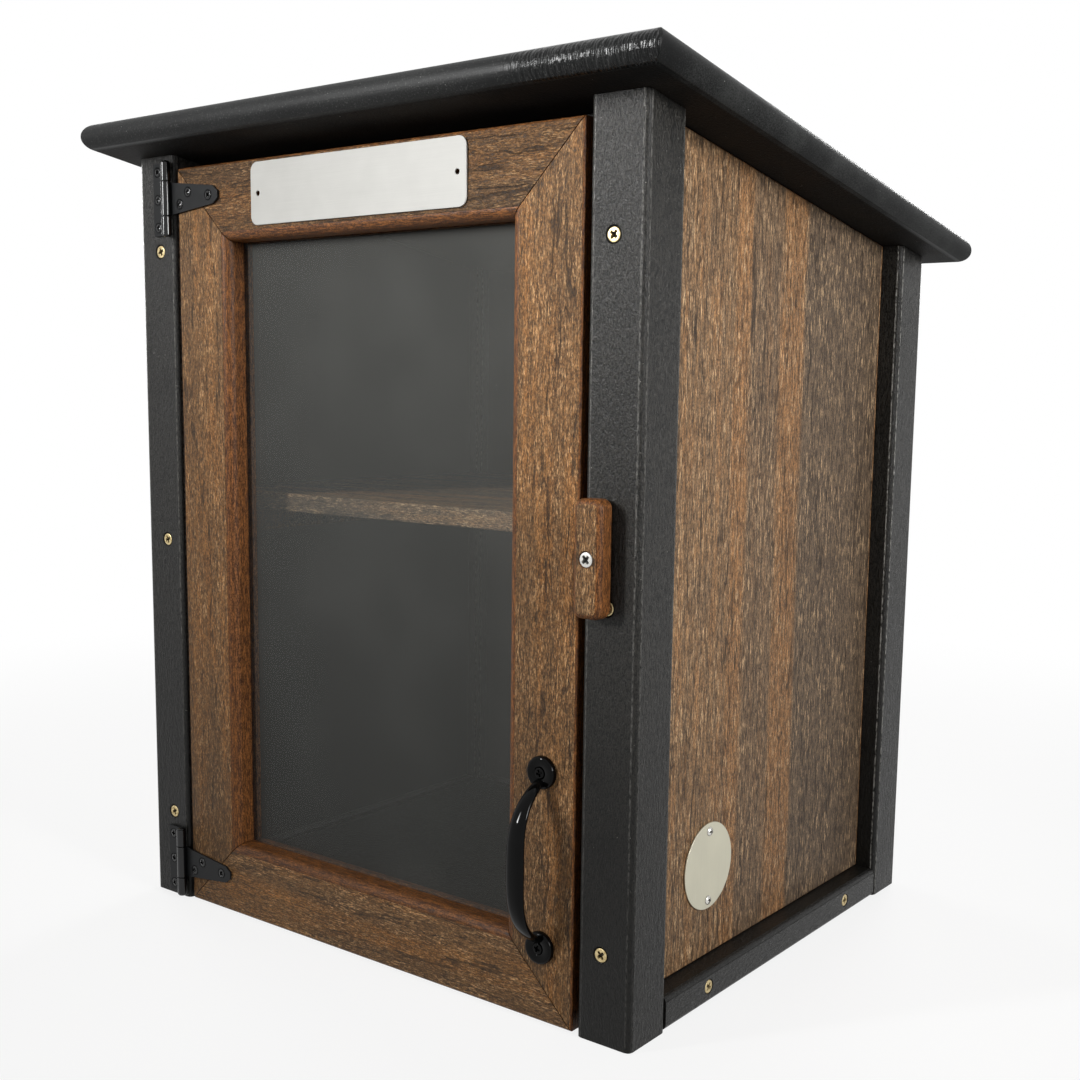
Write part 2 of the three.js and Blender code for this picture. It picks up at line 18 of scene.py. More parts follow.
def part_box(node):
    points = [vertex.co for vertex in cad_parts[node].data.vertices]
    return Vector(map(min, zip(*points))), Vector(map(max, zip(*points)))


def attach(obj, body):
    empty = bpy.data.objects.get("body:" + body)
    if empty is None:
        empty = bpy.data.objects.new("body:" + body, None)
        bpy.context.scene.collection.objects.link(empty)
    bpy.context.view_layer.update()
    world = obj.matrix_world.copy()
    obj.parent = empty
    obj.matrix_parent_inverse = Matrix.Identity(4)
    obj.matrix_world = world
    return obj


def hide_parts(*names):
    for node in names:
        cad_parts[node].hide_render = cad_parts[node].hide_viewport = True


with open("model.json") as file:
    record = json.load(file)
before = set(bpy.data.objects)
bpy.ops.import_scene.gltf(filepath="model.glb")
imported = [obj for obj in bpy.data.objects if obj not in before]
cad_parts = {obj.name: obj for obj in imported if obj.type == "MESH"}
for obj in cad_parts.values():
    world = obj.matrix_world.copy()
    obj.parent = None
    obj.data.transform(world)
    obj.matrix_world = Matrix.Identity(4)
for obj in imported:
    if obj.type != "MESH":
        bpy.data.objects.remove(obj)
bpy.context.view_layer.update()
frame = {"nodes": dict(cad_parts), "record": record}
MM = 0.001
record = frame["record"]
node_body = {node: body for body, nodes in record["behaviour"]["bodies"].items() for node in nodes}

# %% [markdown]
# ## The camera
# A photograph is matched by giving the camera the place, the turn and the lens that the real one
# had. They could be set by eye, but a least squares fit of the box's corners is far closer, and its
# result is written here: a place measured from the middle of the front face at floor level, and
# three unit vectors. The shift stands for the crop of the picture.

# %% The camera
front_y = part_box("post_front_left")[0].y
LENS_PIXELS = 1395.47
PICTURE_PIXELS = 1080
PICTURE_CENTRE = Vector((550.79, 580.38))
SENSOR = 36.0
VIEW_FROM = Vector((0.63596, front_y - 0.63091, 0.37851))
VIEW_RIGHT = Vector((0.794141, 0.607597, 0.012870))
VIEW_FORWARD = Vector((-0.600580, 0.787857, -0.136327))


def added(name, data):
    """Puts a new object into the scene."""
    thing = bpy.data.objects.new(name, data)
    bpy.context.collection.objects.link(thing)
    return thing


camera_data = bpy.data.cameras.new("photo_camera")
camera_data.sensor_width = SENSOR
camera_data.lens = LENS_PIXELS / PICTURE_PIXELS * SENSOR
camera_data.shift_x = (PICTURE_PIXELS / 2 - PICTURE_CENTRE.x) / PICTURE_PIXELS
camera_data.shift_y = (PICTURE_CENTRE.y - PICTURE_PIXELS / 2) / PICTURE_PIXELS
camera_data.clip_start = 0.01
back = -VIEW_FORWARD.normalized()
right = (VIEW_RIGHT - VIEW_RIGHT.dot(back) * back).normalized()
view_axes = Matrix((right, back.cross(right), back)).transposed()
camera = added("photo_camera", camera_data)
camera.matrix_world = Matrix.Translation(VIEW_FROM) @ view_axes.to_4x4()
bpy.context.scene.camera = camera
bpy.context.scene.view_settings.view_transform = "Standard"
print("camera lens:", round(camera_data.lens, 1), "mm, from", [round(v, 3) for v in VIEW_FROM])

# %% [markdown]
# ## Shader arithmetic
# A material is a small calculation that runs at every point of a surface. It could be wired by
# hand, box by box, but written as sums and products it reads like the recipe that it is. `Wire`
# wraps one output socket, so that signs between wires add Math nodes. `Finish` holds a material
# and adds any other node by its type, its settings and its inputs.

# %% Wires
def math_sign(operation, swapped=False):
    """What a sign does: one Math node on a wire and the value at the sign's other side."""
    if swapped:
        return lambda wire, other: wire.finish.math(operation, other, wire)
    return lambda wire, other: wire.finish.math(operation, wire, other)


class Wire:
    """One output socket. The signs + - * / and ** between wires and numbers add Math nodes."""

    def __init__(self, finish, socket):
        self.finish, self.socket = finish, socket

    __add__, __radd__ = math_sign("ADD"), math_sign("ADD", swapped=True)
    __sub__, __rsub__ = math_sign("SUBTRACT"), math_sign("SUBTRACT", swapped=True)
    __mul__, __rmul__ = math_sign("MULTIPLY"), math_sign("MULTIPLY", swapped=True)
    __truediv__, __pow__ = math_sign("DIVIDE"), math_sign("POWER")

    def __abs__(self):
        return self.finish.math("ABSOLUTE", self)


print("a wire knows the signs:", "+ - * / ** abs")

# %% Finishes
X, Y, Z = range(3)


class Finish:
    """A material, or the world, while it is written down. The grain is the axis along which its
    streaks are drawn out. Its patterns read Object coordinates, in metres."""

    def __init__(self, name, grain=Z, owner=None):
        self.grain = grain
        self.material = owner or bpy.data.materials.new(name)
        self.material.use_nodes = True
        self.tree = self.material.node_tree
        self.tree.nodes.clear()
        self.place = self.node("ShaderNodeTexCoord", output="Object")
        self.x, self.y, self.z = (
            self.node("ShaderNodeSeparateXYZ", values=[self.place], output=axis) for axis in "XYZ"
        )

    def node(self, kind, settings=(), values=(), output=0):
        """Adds a node, sets it, then puts a number, a colour or a wire on each input given."""
        node = self.tree.nodes.new(kind)
        for key, value in dict(settings).items():
            setattr(node, key, value)
        for key, value in (values.items() if isinstance(values, dict) else enumerate(values)):
            if isinstance(value, Wire):
                self.tree.links.new(value.socket, node.inputs[key])
            else:
                node.inputs[key].default_value = value
        return Wire(self, node.outputs[output]) if node.outputs else None

    def math(self, operation, *values):
        """One Math node."""
        return self.node("ShaderNodeMath", {"operation": operation}, values)

    def rise(self, wire, low, high):
        """0 below low, 1 above high, and a smooth step between them. Low may be the larger."""
        return self.node(
            "ShaderNodeMapRange", {"interpolation_type": "SMOOTHSTEP"}, [wire, low, high, 0.0, 1.0]
        )

    def noise(self, sizes, detail=2.0, roughness=0.5, seed=0.0):
        """Cloudy values near 0.5 whose lumps have the given sizes in mm along X, Y and Z. The seed
        moves the pattern: a wire that varies over the surface bends it."""
        offset = seed if isinstance(seed, Wire) else (seed, seed, seed)
        scale = [1 / (size * MM) for size in sizes]
        at = self.node("ShaderNodeVectorMath", {"operation": "MULTIPLY_ADD"}, [self.place, scale, offset])
        values = {"Vector": at, "Scale": 1.0, "Detail": detail, "Roughness": roughness}
        return self.node("ShaderNodeTexNoise", values=values)

    def streaks(self, across, length, roughness=0.5, seed=0.0, detail=2):
        """Noise drawn out along the grain: its lumps have some length and a width across, in mm."""
        sizes = [across] * 3
        sizes[self.grain] = length
        return self.noise(sizes, detail, roughness, seed)

    def mix(self, share, first, second):
        """A colour that goes from first to second as share goes from 0 to 1. The Mix node's sockets
        for colours are its inputs 6 and 7 and its output 2."""
        return self.node("ShaderNodeMix", {"data_type": "RGBA"}, {0: share, 6: first, 7: second}, output=2)

    def scaled(self, colour, factor):
        """A colour, from a wire or as red, green and blue, times a number that varies over the
        surface."""
        return self.node("ShaderNodeVectorMath", {"operation": "SCALE"}, {"Vector": colour, "Scale": factor})

    def bump(self, height, distance, before=None):
        """Dents and bumps up to distance mm deep, on top of those of an earlier bump."""
        values = {"Height": height, "Distance": distance * MM, "Strength": 1.0}
        if before:
            values["Normal"] = before
        return self.node("ShaderNodeBump", values=values)

    def principled(self, colour, rough, normal, specular=0.5, metal=0.0):
        """The Principled shader, with the inputs that the finishes here need."""
        names = ("Base Color", "Roughness", "Normal", "Specular IOR Level", "Metallic")
        values = dict(zip(names, (colour, rough, normal, specular, metal)))
        return self.node("ShaderNodeBsdfPrincipled", values=values)

    def blend(self, share, first, second):
        """A shader that goes from first to second as share goes from 0 to 1."""
        return self.node("ShaderNodeMixShader", values=[share, first, second])

    def end(self, shader):
        """Puts a shader on the material's output, which ends the material."""
        self.node("ShaderNodeOutputMaterial", values=[shader])
        return self.material

    def shade(self, *inputs):
        """Ends the material with the Principled shader alone."""
        return self.end(self.principled(*inputs))


def rgb(red, green, blue):
    """A colour as a painter's eye and a screen give it, 0 to 255, turned into linear light."""
    share = np.array([red, green, blue]) / 255
    linear = np.where(share <= 0.04045, share / 12.92, ((share + 0.055) / 1.055) ** 2.4)
    return (*linear.tolist(), 1.0)


print("mid grey in linear light:", round(rgb(128, 128, 128)[0], 3))

# %% [markdown]
# ## Brown board
# The door, the panels and the turn button are sawn from pressed brown board. Its skin is combed
# along the length into short flecks and long streaks, and wider bands drift between a warm and a
# grey brown. Where a cutter has been, at rounded edges, the core shows: smoother and more orange.
# Photographs could be pasted on, but noise stretched along the grain gives the same look at any
# size, with no seams. The skin lies in one plane, so what is behind that plane is core.

# %% The brown board finish
PANEL_TONES = rgb(104, 87, 70), rgb(142, 109, 76), rgb(160, 113, 70), rgb(214, 180, 140)
DOOR_TONES = rgb(114, 84, 54), rgb(138, 98, 58), rgb(150, 102, 56), rgb(206, 166, 120)
DARK_GAP = rgb(30, 20, 12)
CORE_ORANGE = rgb(138, 88, 46)
CORE_DARK = rgb(70, 42, 23)
INSIDE_DARK = rgb(47, 47, 46)
SKIN_DEPTH = 0.25


def loose_bands(f, seed):
    """Shares of warm brown and of orange, in bands that drift along the grain."""
    warm = f.rise(f.streaks(26, 400, 0.45, seed), 0.42, 0.58)
    return warm, warm * f.rise(f.streaks(9, 110, 0.5, seed + 3), 0.46, 0.64)


def brown_board(
    name, grain, skin, tones=DOOR_TONES, size=0.75, seed=0.0, bands=loose_bands, inside=None, shade=1.0
):
    """Flecks, fibres and cracks laid over bands of colour, then the plain core where a cutter has
    been. skin(finish): mm that a point lies behind the face's plane. size: of the flecks.
    inside(finish), if given: 1 where the board's hidden face is dark."""
    f = Finish(name, grain)
    grey_tone, warm_tone, orange_tone, pale_tone = tones
    warm, orange = bands(f, seed)
    drift = f.rise(f.streaks(3.2, 55, 0.55, seed + 5), 0.34, 0.66)
    crowd = f.rise(f.streaks(12, 40, 0.5, seed + 6), 0.36, 0.62)
    wander = 1.6 * f.streaks(9, 22, 0.5, seed + 14)
    fibre = f.rise(f.streaks(1.1 * size, 15 * size, 0.55, seed + 13 + wander), 0.36, 0.64)
    fleck = f.rise(f.streaks(0.9 * size, 4.4 * size, 0.6, seed + 7), 0.42, 0.58)
    dash = f.rise(f.streaks(0.9 * size, 6.5 * size, 0.6, seed + 8), 0.54, 0.64)
    grit = f.rise(f.streaks(0.8, 1.5, 0.7, seed + 9), 0.38, 0.62)
    split = abs(f.streaks(11, 150, 0.5, seed + 11 + 0.3 * wander) - 0.5)
    where = f.rise(f.streaks(5, 30, 0.6, seed + 12), 0.45, 0.55)
    crack = f.rise(split, 0.024, 0.008) * where
    colour = f.mix(warm * (0.45 + 0.55 * drift), grey_tone, warm_tone)
    colour = f.mix(orange * 0.7, colour, orange_tone)
    colour = f.mix((1 - fleck) * 0.48 + (1 - fibre) * 0.30, colour, DARK_GAP)
    colour = f.mix(dash * (0.20 + 0.34 * crowd), colour, pale_tone)
    colour = f.mix(crack * 0.7, colour, DARK_GAP)
    # shade scales the whole colour: on the door's top and bottom rails it is painted shade and painted light.
    colour = f.scaled(colour, shade * (0.66 + 1.08 * grit + 0.28 * drift))
    core_tone = f.rise(f.streaks(1.0, 7, 0.65, seed + 15, detail=3), 0.36, 0.66)
    core = f.scaled(f.mix(core_tone, CORE_DARK, CORE_ORANGE), 0.55 + 0.8 * grit)
    cut = f.rise(skin(f), 0.35 * SKIN_DEPTH, SKIN_DEPTH)
    colour = f.mix(cut, colour, core)
    smooth = cut * 0.7
    if inside:
        hidden = inside(f)
        colour = f.mix(hidden, colour, INSIDE_DARK)
        smooth = f.math("MAXIMUM", smooth, hidden * 0.9)
    rough = 0.44 - 0.10 * cut + 0.12 * grit
    relief = fleck * 0.4 + fibre * 0.3 + dash * 0.3 + grit * 0.45 - crack * 0.8
    normal = f.bump(relief * (1 - smooth), 0.32)
    return f.shade(colour, rough, normal, 0.19)


print("the core shows from", SKIN_DEPTH, "mm under the skin")

# %% Brown boards
door_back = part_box("door_stile_latch")[1].y


def inside_door(f):
    """Distance in mm to the nearer one of the door's front and back planes."""
    return ((door_back - front_y) / 2 - abs(f.y - (door_back + front_y) / 2)) / MM


panel_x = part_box("side_panel_right")[1].x
panel_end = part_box("post_rear_right")[0].y


def behind_side(f):
    """Distance in mm inside the outer faces of the two side panels."""
    return (panel_x - abs(f.x)) / MM


def panel_bands(f, seed):
    """A side is brown in front and grey at the back, with two orange bands, at distances in mm
    behind the front face. Their edges wander."""
    back = (f.y - front_y) / MM + 9 * f.streaks(60, 150, 0.5, seed) - 4.5
    grey = 0.6 * f.rise(back, 138, 144) * f.rise(back, 182, 176) + f.rise(back, 209, 216)
    orange = f.rise(back, 119, 125) * f.rise(back, 142, 136) + f.rise(back, 176, 184) * f.rise(back, 214, 208)
    thin = f.rise(f.streaks(8, 90, 0.5, seed + 3), 0.54, 0.66)
    edge = f.rise(f.y / MM, panel_end / MM - 3.0, panel_end / MM - 2.4)
    return 1 - grey * (1 - edge), 0.75 * orange + 0.5 * thin * (1 - grey) * (1 - orange) + 0.9 * edge


def panel_inside(f):
    """1 on a side panel's inner face."""
    return f.rise(behind_side(f), 4, 5)


def all_skin(f):
    """For a board that shows no cut edge."""
    return f.x * 0.0


board_upright = brown_board("brown_board_upright", Z, inside_door)
# The top rail's copy is painted darker and the bottom rail's lighter: painted shade and painted light, for how
# the light falls on them.
board_head_painted_shade = brown_board("brown_board_head", X, inside_door, seed=31, shade=0.62)
board_foot_painted_light = brown_board("brown_board_foot", X, inside_door, seed=37, shade=1.3)
board_panel = brown_board("brown_board_panel", Z, behind_side, PANEL_TONES, 1.35, 57, panel_bands, panel_inside)
board_shelf = brown_board("brown_board_shelf", X, all_skin, PANEL_TONES, seed=71)
print("brown finishes:", board_upright.name, board_head_painted_shade.name, board_panel.name)

# %% [markdown]
# ## Black board
# The posts, rails and roof are the same kind of board in black. Its skin is matt and finely
# wrinkled like leather, drawn out along the length. A coarse noise could do for all of it, but
# here one noise sets the wrinkles and a finer one the dust in them, because the photograph shows
# both. Towards the foot the dust is cut back, which paints shade there, and the machined lines are
# painted lighter in places, partly as wear and partly as a painted highlight.

# %% The black board finishes
SOFT_BLACK = rgb(9, 9, 8)
DUSTY_BLACK = rgb(58, 56, 52)
PALE_SPECK = rgb(170, 168, 160)
RUBBED_AND_HIGHLIT_GREY = rgb(172, 170, 164)
FOOT_SHADE_HEIGHT = 0.34


def black_board(name, grain, seed=0.0, ridge=None, calm=None):
    """Wrinkles with dust in them, on soft black.
    ridge(finish), if given: 1 along the machined lines, lighter here and there: wear and painted highlight.
    calm(finish), if given: 1 where the board is smooth and plain."""
    f = Finish(name, grain)
    plain = calm(f) if calm else 0.0
    wrinkles = f.streaks(1.1, 3.4, 0.6, seed)
    grit = f.streaks(0.7, 1.3, 0.7, seed + 2)
    drawn = f.streaks(2.8, 7, 0.5, seed + 4)
    cloud = f.noise((45, 45, 45), 2, 0.5, seed + 6)
    speck = f.rise(f.noise((1.5, 1.5, 1.5), 1, 0.5, seed + 8), 0.78, 0.81)
    dust = f.rise(grit * 0.6 + wrinkles * 0.4 + 0.08 * (cloud - 0.5), 0.41, 0.59)
    # Painted shade: the dust share is cut towards the foot, so the board is darker low down.
    low = f.rise(f.z, FOOT_SHADE_HEIGHT, 0.0)
    dust = dust * (1 - 0.6 * low)
    colour = f.mix(dust * (0.8 - 0.7 * plain) + 0.35 * plain, SOFT_BLACK, DUSTY_BLACK)
    colour = f.mix(speck * 0.7, colour, PALE_SPECK)
    rough = 0.33 - (0.26 * (wrinkles - 0.5) + 0.4 * (grit - 0.5)) * (1 - plain) + 0.12 * (cloud - 0.5)
    if ridge:
        # The lighter grey along the machined lines is partly wear and partly a painted highlight, and it fades
        # towards the foot as painted shade.
        rubbed_and_highlit = ridge(f) * f.rise(f.streaks(1.0, 3.0, 0.6, seed + 10), 0.36, 0.62)
        # Painted highlight: a brighter line on the rear posts' front edge, where the round catches the light.
        rear_front = f.rise(f.y, rear_low.y - MM, rear_low.y)
        rear_edge_highlight = rear_front * f.rise(f.y, rear_low.y + 7 * MM, rear_low.y + 6 * MM)
        colour = f.mix(rubbed_and_highlit * (0.34 - 0.2 * low + 0.6 * rear_edge_highlight), colour, RUBBED_AND_HIGHLIT_GREY)
        rough = rough - 0.16 * rubbed_and_highlit
    normal = f.bump((wrinkles * 0.8 + grit * 0.7 + drawn * 0.7) * (1 - 0.95 * plain), 0.5)
    return f.shade(colour, rough, normal, 0.18)


# Below this height the board is painted darker, as painted shade.
print("the dust thins out below", round(FOOT_SHADE_HEIGHT / MM), "mm")

# %% Black boards
post_low, post_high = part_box("post_front_left")
rear_low, rear_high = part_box("post_rear_left")
POST_HALF = (post_high.x - post_low.x) / 2
EDGE_ROUND, EDGE_STEP = 3.2 * MM, 0.24 * MM
RIDGE_WIDE = 0.75


def post_ridge(f):
    """The four posts mirror each other, so one set of distances from a post's axis serves all."""
    middle_y = (post_low.y + rear_high.y) / 2
    u = abs(abs(f.x) + (post_low.x + POST_HALF)) / MM
    v = abs(abs(f.y - middle_y) - (rear_high.y - POST_HALF - middle_y)) / MM
    half, line = POST_HALF / MM, (POST_HALF - EDGE_ROUND) / MM
    lines = [
        f.rise(abs(p - line), RIDGE_WIDE, 0.2) * f.rise(q, half - 0.6, half - 0.35)
        for p, q in ((u, v), (v, u))
    ]
    return f.math("MAXIMUM", *lines)


def inside_back(f):
    """1 on the back panel's inner face, which shows through the window."""
    return f.rise(f.y, back_inner + 2 * MM, back_inner + MM)


back_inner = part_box("back_panel")[0].y
black_upright = black_board("black_board_upright", Z, ridge=post_ridge)
black_sheet = black_board("black_board_sheet", Z, seed=65, calm=inside_back)
black_level = black_board("black_board_level", Y, seed=21)
black_across = black_board("black_board_across", X, seed=43)
print("black finishes:", black_upright.name, black_level.name, black_across.name)

# %% [markdown]
# ## The roof's finish
# The roof is black board too: its faces and side rims are dull skin, and its front rim shines
# more, with ripples that a cutter left near the right end. Two materials could meet at the corner,
# but then the seam would be sharp. Here two Principled shaders are blended, a dull and a shiny
# one, because the specular level of one shader has to be a plain number.

# %% The roof's finish
roof_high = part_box("roof_board")[1]
SLOPE = (post_high.z - rear_high.z) / (rear_low.y - post_low.y)
ROOF_ANGLE = math.atan(SLOPE)
SEAT = 0.3 * MM
eaves_z = post_high.z + SEAT / math.cos(ROOF_ANGLE)
ROOF_THICK = 19 * MM
REACH_FRONT = 31.2 * MM
half_width = roof_high.x
ROOF_BLACK, ROOF_DUST, ROOF_PAINTED_GLINT = rgb(13, 14, 14), rgb(54, 55, 54), rgb(150, 150, 146)
UNDERSIDE_SHADE_BLACK, UNDERSIDE_DUST_IN_SHADE, ROOF_SPECK = rgb(3, 3, 3), rgb(28, 23, 18), rgb(180, 180, 175)
DULL, SHINY = 0.08, 0.15


def roof_finish():
    """up: mm above the underside. rim: 1 on the round edge. front: 1 on the edge over the door,
    which ends at the corners' diagonals. patch: 1 where the ripples are."""
    f = Finish("black_roof_board")
    up = ((f.z - eaves_z) + SLOPE * (f.y - front_y)) * (math.cos(ROOF_ANGLE) / MM)
    thick = ROOF_THICK / MM
    rim = f.rise(up, 0.1, 0.7) * f.rise(up, thick - 0.02, thick - 0.15)
    from_front = ((f.y - front_y) / math.cos(ROOF_ANGLE) + REACH_FRONT) / MM
    front = f.rise((half_width - abs(f.x)) / MM - from_front, -0.2, 0.2)
    wrinkles = f.noise((1.4, 2.8, 2.8), 3, 0.6, 5)
    grit = f.noise((0.8, 0.8, 0.8), 2, 0.7, 7)
    cloud = f.noise((60, 30, 30), 2, 0.5, 9)
    under = f.rise(up, 0.4, 0.0)
    patch = f.rise(0.5 * f.noise((90, 60, 60), 1, 0.4, 11) + 0.5 * f.rise(f.x, 0.08, 0.19), 0.46, 0.72)
    chatter = f.rise(f.noise((2.0, 9, 9), 1, 0.6, 13), 0.30, 0.70)
    scuffs = f.noise((14, 1.6, 1.6), 3, 0.6, 15)
    speck = f.rise(f.noise((1.6, 1.6, 1.6), 1, 0.5, 17), 0.80, 0.83)
    dust = f.rise(grit * 0.6 + cloud * 0.4, 0.42, 0.64)
    # Painted shade: the front rim carries much less dust than the side rims, so it is painted darker.
    colour = f.mix(dust * (0.85 - 0.55 * rim * front), ROOF_BLACK, ROOF_DUST)
    # The underside is painted darker, as painted shade, and browner, which is its own tone.
    colour = f.mix(under, colour, f.mix(dust, UNDERSIDE_SHADE_BLACK, UNDERSIDE_DUST_IN_SHADE))
    colour = f.mix(speck * 0.6, colour, ROOF_SPECK)
    # Painted highlight: small pale points of light on the front rim.
    painted_glint = f.rise(f.noise((1.0, 1.0, 1.0), 1, 0.5, 19), 0.60, 0.74)
    colour = f.mix(painted_glint * rim * front * 0.12, colour, ROOF_PAINTED_GLINT)
    rough = 0.56 - rim * (0.08 + 0.28 * patch * front) + 0.16 * (cloud - 0.5) + 0.1 * under
    skin = f.bump((wrinkles + 0.5 * grit) * (1 - 0.94 * rim), 0.40)
    ripples = f.bump(rim * front * (chatter * patch + scuffs * 0.28), 0.50, skin)
    dull, shiny = (f.principled(colour, rough, ripples, specular) for specular in (DULL, SHINY))
    return f.end(f.blend(rim * front, dull, shiny))


black_roof = roof_finish()
print("roof slope:", round(math.degrees(ROOF_ANGLE), 2), "degrees")

# %% [markdown]
# ## Metal, glass and plates
# The hinges carry a satin black coat, the handle a glossy one, and so do their screws. The posts'
# and rails' screws are yellow plated, the last few bright. All need only a base colour and the
# right roughness, with a fine noise in it so that highlights break up as they do on handled
# metal. The two plates are brushed: their noise is drawn out very far along one axis. The pane is
# clear: a film of dust gives it its veil, and it mirrors only at a grazing angle.

# %% The metal finishes
def coated(name, colour, roughness, specular, pits=0.03, worn=0.5):
    """A painted metal. pits: mm of orange peel. worn: how far handling changes the roughness."""
    f = Finish(name)
    orange_peel = f.noise((0.9, 0.9, 0.9), 2, 0.5)
    handling = f.noise((9, 9, 9), 3, 0.6, 4)
    tone = f.scaled(colour[:3], 0.8 + 0.4 * handling)
    rough = roughness * (1 + worn * (handling - 0.5))
    return f.shade(tone, rough, f.bump(orange_peel, pits), specular)


def plated(name, bright, dull, roughness):
    """The recess of each head is darkened, 1 at the bottom: dirt and painted shade."""
    f = Finish(name)
    grime_and_shade = f.node("ShaderNodeAttribute", {"attribute_name": "grime_and_shade"}, output="Fac")
    stain = f.rise(f.noise((1.6, 1.6, 1.6), 3, 0.6), 0.38, 0.70)
    scratch = f.noise((0.12, 2.5, 0.5), 2, 0.6, 3)
    # Dirt and painted shade: the recess darkens to near black.
    colour = f.mix(grime_and_shade * 0.93, f.mix(stain, bright, dull), rgb(22, 18, 14))
    rough = roughness + 0.16 * stain + 0.14 * (scratch - 0.5) + 0.3 * grime_and_shade
    return f.shade(colour, rough, f.bump(scratch, 0.02), 0.5, 1.0 - 0.8 * grime_and_shade)


def brushed(name, sizes, colour, metal=0.5):
    """Bare metal whose scratches have the given sizes in mm along X, Y and Z."""
    f = Finish(name)
    lines = f.noise(sizes, 3, 0.7)
    cloud = f.noise((22, 22, 22), 2, 0.5, 5)
    tone = f.scaled(colour[:3], 0.80 + 0.22 * lines + 0.18 * cloud)
    rough = 0.42 + 0.16 * (lines - 0.5) + 0.10 * (cloud - 0.5)
    return f.shade(tone, rough, f.bump(lines, 0.015), 0.2, metal)


def clear_sheet():
    """Each face carries a film of dust, and mirrors at a grazing angle: 0.6 (1 - cos)^5."""
    f = Finish("clear_pane_sheet")
    smear = f.rise(f.noise((60, 60, 60), 3, 0.5), 0.35, 0.75)
    clear = f.node("ShaderNodeBsdfTransparent", values=[rgb(246, 247, 246)])
    dust = f.node("ShaderNodeBsdfDiffuse", values=[rgb(236, 236, 230)])
    shine = f.node("ShaderNodeBsdfGlossy", values={"Color": rgb(255, 255, 255), "Roughness": 0.04})
    slant = f.node("ShaderNodeLayerWeight", values={"Blend": 0.5}, output="Facing")
    dusty = f.blend(0.046 + 0.008 * smear, clear, dust)
    return f.end(f.blend(0.6 * slant**5, dusty, shine))


satin_black = coated("satin_black_steel", rgb(26, 27, 28), 0.36, 0.15)
sleek_black = coated("sleek_black_steel", rgb(6, 6, 7), 0.11, 0.42, 0.0003, 0.1)
screw_black = coated("black_screw_steel", rgb(6, 6, 7), 0.13, 0.45, 0.002, 0.2)
gloss_black = coated("gloss_black_steel", rgb(4, 4, 4), 0.06, 0.10, 0.002)
yellow_plate = plated("yellow_plated_screw", rgb(204, 186, 142), rgb(160, 140, 98), 0.36)
bright_plate = plated("bright_plated_screw", rgb(214, 212, 206), rgb(160, 158, 152), 0.24)
sign_metal = brushed("sign_plate_metal", (40, 0.3, 0.22), rgb(190, 189, 184), 0.0)
badge_metal = brushed("badge_plate_metal", (0.3, 0.3, 30), rgb(206, 202, 182), 0.6)
pane_finish = clear_sheet()
print("fittings:", satin_black.name, gloss_black.name, yellow_plate.name, bright_plate.name)

# %% [markdown]
# ## Surfaces from arrays
# Every new shape is a grid of points worked out in one go: rows run along the piece and columns
# round it. `grid_faces` joins neighbours into four-sided faces, `swept` stacks closed outlines
# into a solid, and `turned` does the same for things that came off a lathe. Modelling by hand
# would do too, but a formula keeps the true radius, and changes with one number.

# %% Grids, outlines and solids
def grid_faces(rows, columns):
    """Joins point (i, j) to (i, j+1), (i+1, j+1) and (i+1, j); the columns close into a ring."""
    i = np.arange(rows - 1)[:, None] * columns
    j = np.arange(columns)[None, :]
    after = (j + 1) % columns
    return np.stack([i + j, i + after, i + columns + after, i + columns + j], -1).reshape(-1, 4)


def swept(rings):
    """A closed solid over a stack of outlines of equal length: rows x columns x 3."""
    rings = np.asarray(rings, float)
    rows, columns = rings.shape[:2]
    ends = [np.arange(columns)[::-1].tolist(), (np.arange(columns) + (rows - 1) * columns).tolist()]
    return rings.reshape(-1, 3), grid_faces(rows, columns).tolist() + ends


def turned(profile, sides=48):
    """Carries (radius, height) points round the height axis: x = r cos t, y = r sin t, z = h."""
    radius, height = np.asarray(profile, float).T[:, :, None]
    turn = np.linspace(0, 2 * np.pi, sides, endpoint=False)[None, :]
    return swept(np.stack([radius * np.cos(turn), radius * np.sin(turn), height + 0 * turn], -1))


def rod(radius, low, high, sides):
    """A round bar between two heights."""
    return turned([(0, low), (radius, low), (radius, high), (0, high)], sides)


def arc(centre, radius, start, end, steps=8):
    """Points on a circle from one angle to another, in quarter turns."""
    turn = np.linspace(start, end, steps + 1) * np.pi / 2
    return np.asarray(centre) + radius * np.column_stack([np.cos(turn), np.sin(turn)])


def rounded(half_x, half_y, radius, step=0.0, steps=8):
    """A rectangle with round corners. With a step the arcs lie that much under the flats."""
    corners = []
    for quarter, (side_x, side_y) in enumerate([(1, 1), (-1, 1), (-1, -1), (1, -1)]):
        middle = np.array([side_x * (half_x - radius), side_y * (half_y - radius)])
        round_part = arc(middle, radius - step, quarter, quarter + 1, steps)
        if step:
            flats = [arc(middle, radius, quarter + k, quarter + k, 0) for k in range(2)]
            round_part = np.concatenate([flats[0], round_part, flats[1]])
        corners.append(round_part)
    return np.concatenate(corners)


def laid(solid, origin, along_x=(1, 0, 0), along_y=(0, 1, 0), along_z=(0, 0, 1)):
    """Puts a solid's own x, y and z along three directions of the box, from an origin."""
    points, faces = solid
    return points @ np.array([along_x, along_y, along_z], float) + np.asarray(origin, float), faces


def together(*solids):
    """Several closed solids as one list of points and faces."""
    points, faces, start = [], [], 0
    for some_points, some_faces in solids:
        points.append(some_points)
        faces += [[start + k for k in face] for face in some_faces]
        start += len(some_points)
    return np.concatenate(points), faces


print("points in a post's outline:", len(rounded(1, 1, 0.1, 0.01)))

# %% [markdown]
# ## From arrays to pieces
# A piece rides on the body of the solid that it stands for, and that solid is hidden. Points that
# coincide are merged and faces turned outwards, so that seams and poles are closed. Screw holes are
# cut with Blender's Boolean, because a drilled hole is just that: the wood less the shape of the
# drill.

